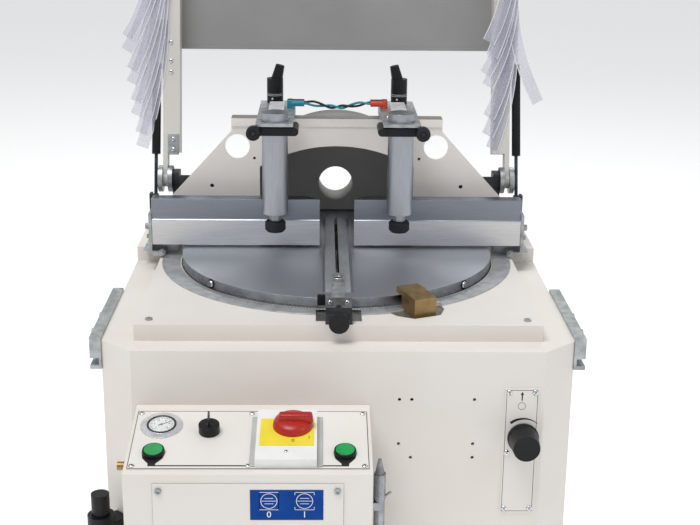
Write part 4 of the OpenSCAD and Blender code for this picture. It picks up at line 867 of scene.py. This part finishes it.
# %% [markdown]
# A ring of dark steel frames the dial, its darkness a painted reflection in a bright bezel, and a slightly domed
# glass covers it. A shader that bends light as glass does left so small a dial dark, so the glass is a clear film
# here: a low alpha shows the dial, and the film keeps its highlight.

# %% Gauge ring and glass
def gauge_glass_finish():
    finish, tree, shader = plain_finish("gauge_glass", "#F4F7F8", 0.03)
    patchy_gloss(tree, shader, 0.02, 0.07, 60)
    shader.inputs["Alpha"].default_value = 0.14
    return finish


# The dark steel ring is a painted dark reflection in the bezel.
bm = bmesh.new()
spin_to(bm, [(18.0, 0.2), (18.4, 1.5), (20.6, 1.5), (20.9, 1.1), (20.9, 0.6), (18.0, 0.2)], dial_place, 48)
as_piece("gauge_ring_dark_reflection", bm, "cabinet", dark_steel).data.shade_smooth()
bm = bmesh.new()
spin_to(bm, [(0, 1.9), (10, 1.8), (17.8, 1.5), (17.8, 1.3), (0, 1.3)], dial_place, 40)
as_piece("gauge_lens", bm, "cabinet", gauge_glass_finish()).data.shade_smooth()
print("gauge ring and glass")

# %% [markdown]
# The main switch has a pale base that carries a yellow plate with the signs 0 and 1. Two screws hold the base.

# %% Main switch plate
SWITCH_X, BASE_TOP, PLATE_THICK = 219, PANEL_TOP + 14, 0.8
bm = bmesh.new()
add_rounded(bm, (75, 62, PLATE_THICK), on_panel(SWITCH_X + 0.5, 88, BASE_TOP + PLATE_THICK / 2), 0.3)
as_piece("switch_plate", bm, "cabinet", yellow_plastic)
bm = bmesh.new()
for number, x, d in (("0", 228, 108), ("1", 250, 101)):
    add_lettering(bm, number, 9, on_panel(x, d, BASE_TOP + PLATE_THICK + 0.05))
as_piece("switch_numbers", bm, "cabinet", black_print_and_shade)
add_screws("switch_screws", [on_panel(SWITCH_X, d, BASE_TOP) for d in (131, 40)], 6, 1.4)

# %% [markdown]
# The red handle is a shallow dome with a ridge to grip. The dome is spun. The ridge is a block that narrows towards
# its top, with well rounded edges. Both are one mesh that rides with the switch's own body.

# %% Main switch handle
HANDLE_SPOT, GRIP_SIZE = (227, 73), (50, 15, 12)
TAPER_LONG, TAPER_WIDE = 0.9, 0.72
handle_place = on_panel(*HANDLE_SPOT, BASE_TOP + PLATE_THICK / 2)
grip_place = handle_place @ moved(4, 0, 15)
bm = bmesh.new()
spin_to(bm, [(0, 13.5), (14, 13), (21, 11.4), (25.6, 8.4), (27.4, 4.5), (28, 0), (0, 0)], handle_place, 48)
grip = add_block(bm, GRIP_SIZE, grip_place)
for vert in grip:
    local = grip_place.inverted() @ vert.co
    if local.z > 0:
        vert.co = grip_place @ (local * Vector((TAPER_LONG, TAPER_WIDE, 1)))
round_edges(bm, grip, 2.4, 4)
handle = as_piece("switch_grip", bm, body_of["switch_handle"], red_plastic)
soften(handle, math.radians(40))
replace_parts(handle, "switch_handle")
print("red handle")

# %% [markdown]
# A blue information plate sits on the front cover. It carries only two outlines and the plain signs 0 and 1. Each
# outline is a spun ring with three lines across it in a square frame. The frame over the 0 is closed, and the one
# over the 1 has only the ends of its upright sides.

# %% Blue plate
PLATE_X, PLATE_Z = -71.5, -200.5
SIGN_OUT, LINE_WIDE, LINE_HIGH = 24, 0.7, 0.1
FRAME_LOW, FRAME_HIGH, FRAME_HALF = -7, 19, 13
bm = bmesh.new()
add_rounded(bm, (99, 45, 0.5), on_front(PLATE_X, COVER_FACE - 0.25, PLATE_Z), 0.15, 1)
as_piece("info_plate", bm, "cabinet", blue_print)
bm = bmesh.new()
for shift, sign, tall in ((-SIGN_OUT, "0", FRAME_HIGH - FRAME_LOW), (SIGN_OUT, "1", 4)):
    middle = on_front(PLATE_X + shift, COVER_FACE - 0.5, PLATE_Z)
    spin_to(bm, [(10.6, 0.1), (11.4, 0.1), (11.4, 0.0), (10.6, 0.0), (10.6, 0.1)], middle @ moved(0, 6, 0), 40)
    for up, wide in ((2, 12), (6, 20), (10, 12), (FRAME_LOW, 2 * FRAME_HALF), (FRAME_HIGH, 2 * FRAME_HALF)):
        add_block(bm, (wide, LINE_WIDE, LINE_HIGH), middle @ moved(0, up, LINE_HIGH / 2))
    for across in (-FRAME_HALF, FRAME_HALF):
        for up in (FRAME_HIGH - tall / 2, FRAME_LOW + tall / 2):
            add_block(bm, (LINE_WIDE, tall, LINE_HIGH), middle @ moved(across, up, LINE_HIGH / 2))
    add_lettering(bm, sign, 13, middle @ moved(0, -14.5, 0))
as_piece("info_signs", bm, "cabinet", white_print)
print("blue plate with two signs")

# %% [markdown]
# The speed plate on the cabinet front is held by five screws and has a thin printed border. An arrow, a ring and a
# tapering arc are printed above its knob. The arc is a row of short blocks, each a little narrower than the last.

# %% Speed plate
SPEED_FACE, SPEED_X = -379.0, 266
BORDER_LEFT, BORDER_RIGHT, BORDER_TOP, BORDER_FOOT = 243.5, 288.5, -99.3, -293.3
ARROW_FOOT, RING_Z = -106.5, -124
ARC_X, ARC_Z, ARC_RADIUS, ARC_STEPS = 270, -174, 30, 24
ARC_FIRST, ARC_TURN, ARC_WIDE, ARC_TAPER = 128, 3.4, 4.2, 0.15
speed_screws = [(247, -103), (285, -103), (247, -289), (285, -289), (247, -198)]
add_screws("plate_screws", [on_front(x, SPEED_FACE, z) for x, z in speed_screws], 9, 2.4)
bm = bmesh.new()
for x in (BORDER_LEFT, BORDER_RIGHT):
    add_block(bm, (0.7, BORDER_TOP - BORDER_FOOT, 0.2), on_front(x, SPEED_FACE, (BORDER_TOP + BORDER_FOOT) / 2))
for z in (BORDER_TOP, BORDER_FOOT):
    add_block(bm, (BORDER_RIGHT - BORDER_LEFT, 0.7, 0.2), on_front(SPEED_X, SPEED_FACE, z))
add_block(bm, (1.8, 9, 0.3), on_front(SPEED_X, SPEED_FACE, ARROW_FOOT - 4.5))
bm.faces.new([bm.verts.new(spot(SPEED_X + x, SPEED_FACE - 0.15, ARROW_FOOT + z))
              for x, z in ((-2.6, 0), (2.6, 0), (0, 5))])
spin_to(bm, [(5.2, 0.2), (5.7, 0.2), (5.7, 0), (5.2, 0), (5.2, 0.2)], on_front(SPEED_X, SPEED_FACE, RING_Z), 32)
for i in range(ARC_STEPS):
    turn = Matrix.Rotation(math.radians(ARC_FIRST - ARC_TURN * i), 4, "Z")
    mark = on_front(ARC_X, SPEED_FACE, ARC_Z) @ turn @ moved(ARC_RADIUS, 0, 0)
    add_block(bm, (ARC_WIDE - ARC_TAPER * i, 2.1, 0.3), mark)
as_piece("plate_prints", bm, "cabinet", black_print_and_shade)
print("border, arrow, ring and arc")

# %% [markdown]
# ## Small pieces on the bridge and the table
# A few things are too small to be solids of their own. A dark seal closes the gap between the disc and the panel
# behind it. Four drilled holes in the bridge are blind, so a black plug sits behind each.

# %% Seal and plugs
SEAL_SIZE, HOLES_BACK = (330, 4, 22), 86.6
holes = ((-216, 90), (-142, 139), (142, 139), (216, 90))
bm = bmesh.new()
add_rounded(bm, SEAL_SIZE, placed(0, 266, -5), 0.8)
for x, z in holes:
    spin_to(bm, [(0, 2.5), (5, 2.5), (5.5, 2), (5.5, 0), (0, 0)], on_front(x, HOLES_BACK, z), 20)
as_piece("seals", bm, "cabinet", black_rubber)
print("seal and", len(holes), "plugs")

# %% [markdown]
# The front cover throws a thin shadow line on its box: a grey sheet behind the cover that looks out on every side.
# Its size is measured on the cover itself. The main switch stands on a gasket of the same grey.

# %% Shadow line and gasket
SHADOW_OUT, GASKET_SIZE = 0.8, (100, 113, 2)
corners = [Vector(corner) for corner in frame["nodes"]["control_cover"].bound_box]
cover_low = Vector(min(c[i] for c in corners) for i in range(3))
cover_high = Vector(max(c[i] for c in corners) for i in range(3))
cover_wide, _, cover_tall = (cover_high - cover_low) / MM
middle = (cover_low + cover_high) / 2
middle.y = spot(0, COVER_FACE + 1.8, 0).y
bm = bmesh.new()
add_rounded(bm, (cover_wide + 2 * SHADOW_OUT, 0.4, cover_tall + 2 * SHADOW_OUT), Matrix.Translation(middle), 0.1)
add_rounded(bm, GASKET_SIZE, on_panel(SWITCH_X, 91.5, PANEL_TOP + GASKET_SIZE[2] / 2), 0.5)
as_piece("shadow_gap", bm, "cabinet", base_grey)
print("shadow line round a cover of", round(cover_wide), "x", round(cover_tall), "mm")

# %% [markdown]
# Screws hold the clamp arms and the index plate. Two large bolts sit in the disc's rim, each ringed by a flat black
# ring that paints the shade of its recess. What sits on the disc rides on the turntable, so it turns with it.

# %% Screws and rim bolts
RIM_RADIUS, RIM_HEIGHT, RIM_TURN = 260.1, -8, 50
arm_screws = [(side * (CLAMP[0] + dx), -14) for side in (-1, 1) for dx in (-20, 20)]
add_screws("clamp_screws", [placed(x, y, ARM_TOP) for x, y in arm_screws], 8, 2.6)
add_screws("index_screws", [on_front(x, -264, -5) for x in (-13, 13)], 7, 2.2, "turntable")
round_rim = [placed(0, 0, 0) @ Matrix.Rotation(math.radians(turn), 4, "Z") for turn in (-RIM_TURN, RIM_TURN)]
rim_bolts = [turned @ moved(0, -RIM_RADIUS, RIM_HEIGHT) @ facing for turned in round_rim]
# The black rings are painted shade of the bolts' recesses.
bm = bmesh.new()
for place in rim_bolts:
    spin_to(bm, [(5.8, 0.4), (7.7, 0.4), (7.7, -0.6), (5.8, -0.6), (5.8, 0.4)], place, 32)
as_piece("rim_recess_shade", bm, "turntable", black_plastic)
add_screws("rim_bolts", rim_bolts, 11.6, 4.4, "turntable")

# %% [markdown]
# A socket screw clamps the index tab: a bright ring, with a black disc in its hole as painted shade. Beside the tab a
# black pointer looks over the disc's edge at the angle scale.

# %% Tab screw and pointer
POINTER_SIZE = (12, 7, 16)
tab_screw = placed(0, -181, 7.5)
bm = bmesh.new()
spin_to(bm, [(4.4, 0), (4.6, 0.8), (7.4, 0.8), (8.1, 0.2), (8.1, 0), (4.4, 0)], tab_screw, 32)
as_piece("tab_ring", bm, "turntable", bright_steel).data.shade_smooth()
# The black disc in the hole is painted shade.
bm = bmesh.new()
spin_to(bm, [(0, 0.3), (4.2, 0.3), (4.4, 0), (0, 0)], tab_screw, 24)
as_piece("tab_hole_shade", bm, "turntable", black_print_and_shade)
bm = bmesh.new()
add_rounded(bm, POINTER_SIZE, placed(-26, -261.6, -2), 0.6)
as_piece("pointer", bm, "turntable", black_plastic)
print("tab screw and pointer")

# %% [markdown]
# The left hood arm ends in a zinc plate with two bolts, and three more bolts sit higher up the arm. The hood sheet's
# lower edge is folded over to a hem. All of this turns with the hood, so it is placed by the hood's own matrix and
# rides on its body.

# %% Arm plate and hem
ARM_PLATE_SIZE, HEM_SIZE = (19, 2, 36), (602, 2, 7)
arm_plate = hood_place @ moved(-283, -13, 59)
bm = bmesh.new()
add_rounded(bm, ARM_PLATE_SIZE, arm_plate, 0.4)
as_piece("arm_plate", bm, "hood", zinc)
# The hem takes the hood's grey coat, which is painted shade on a cream sheet.
bm = bmesh.new()
add_rounded(bm, HEM_SIZE, hood_place @ moved(0, 23, 231.6), 0.4)
as_piece("hood_hem", bm, "hood", grey_paint)
bolts = [arm_plate @ moved(0, -1, up) @ facing for up in (9, -9)]
bolts += [hood_place @ moved(-287, -12, up) @ facing for up in (184, 203, 235)]
add_screws("arm_bolts", bolts, 8, 2.4, "hood")

# %% [markdown]
# The clamping levers have a seam round the hub where the spring-loaded handle lifts off, and a small screw below it.
# The seam is two thin spun rings.

# %% Lever seams
LEVER_X, LEVER_Y = 107, 116
for side, body in ((-1, "left_handle"), (1, "right_handle")):
    bm = bmesh.new()
    for height in (13, 15.5):
        spin_to(bm, [(13.6, 0), (14.35, 0.3), (14.35, 0.9), (13.6, 1.2), (13.6, 0)],
                placed(side * LEVER_X, LEVER_Y, ARM_TOP + height), 32)
    as_piece(body + "_seam", bm, body, base_grey).data.shade_smooth()
    add_screws(body + "_screw", [on_front(side * LEVER_X - 4, LEVER_Y - 13.4, ARM_TOP + 8)], 4, 1.2, body)

# %% [markdown]
# The knobs of the split collars are dished, with a socket in the middle. A spun ring draws the dish, and a spin of
# only six steps makes the six-sided socket.

# %% Knob dishes
KNOB_HEIGHT = 216.5
bm, sockets = bmesh.new(), bmesh.new()
for side in (-1, 1):
    for x, y, r in ((135, -91.4, 10.4), (70, -76, 5.6)):
        dish = on_front(side * x, y, KNOB_HEIGHT)
        spin_to(bm, [(r * 0.55, 0), (r * 0.6, 0.5), (r * 0.92, 0.5), (r, 0.1), (r, 0), (r * 0.55, 0)], dish, 32)
        spin_to(sockets, [(0, 0.4), (r * 0.25, 0.4), (r * 0.28, 0), (0, 0)], dish, 6)
as_piece("knob_dishes", bm, "cabinet", black_rubber).data.shade_smooth()
as_piece("knob_sockets", sockets, "cabinet", dark_steel)
print("4 dished knobs")
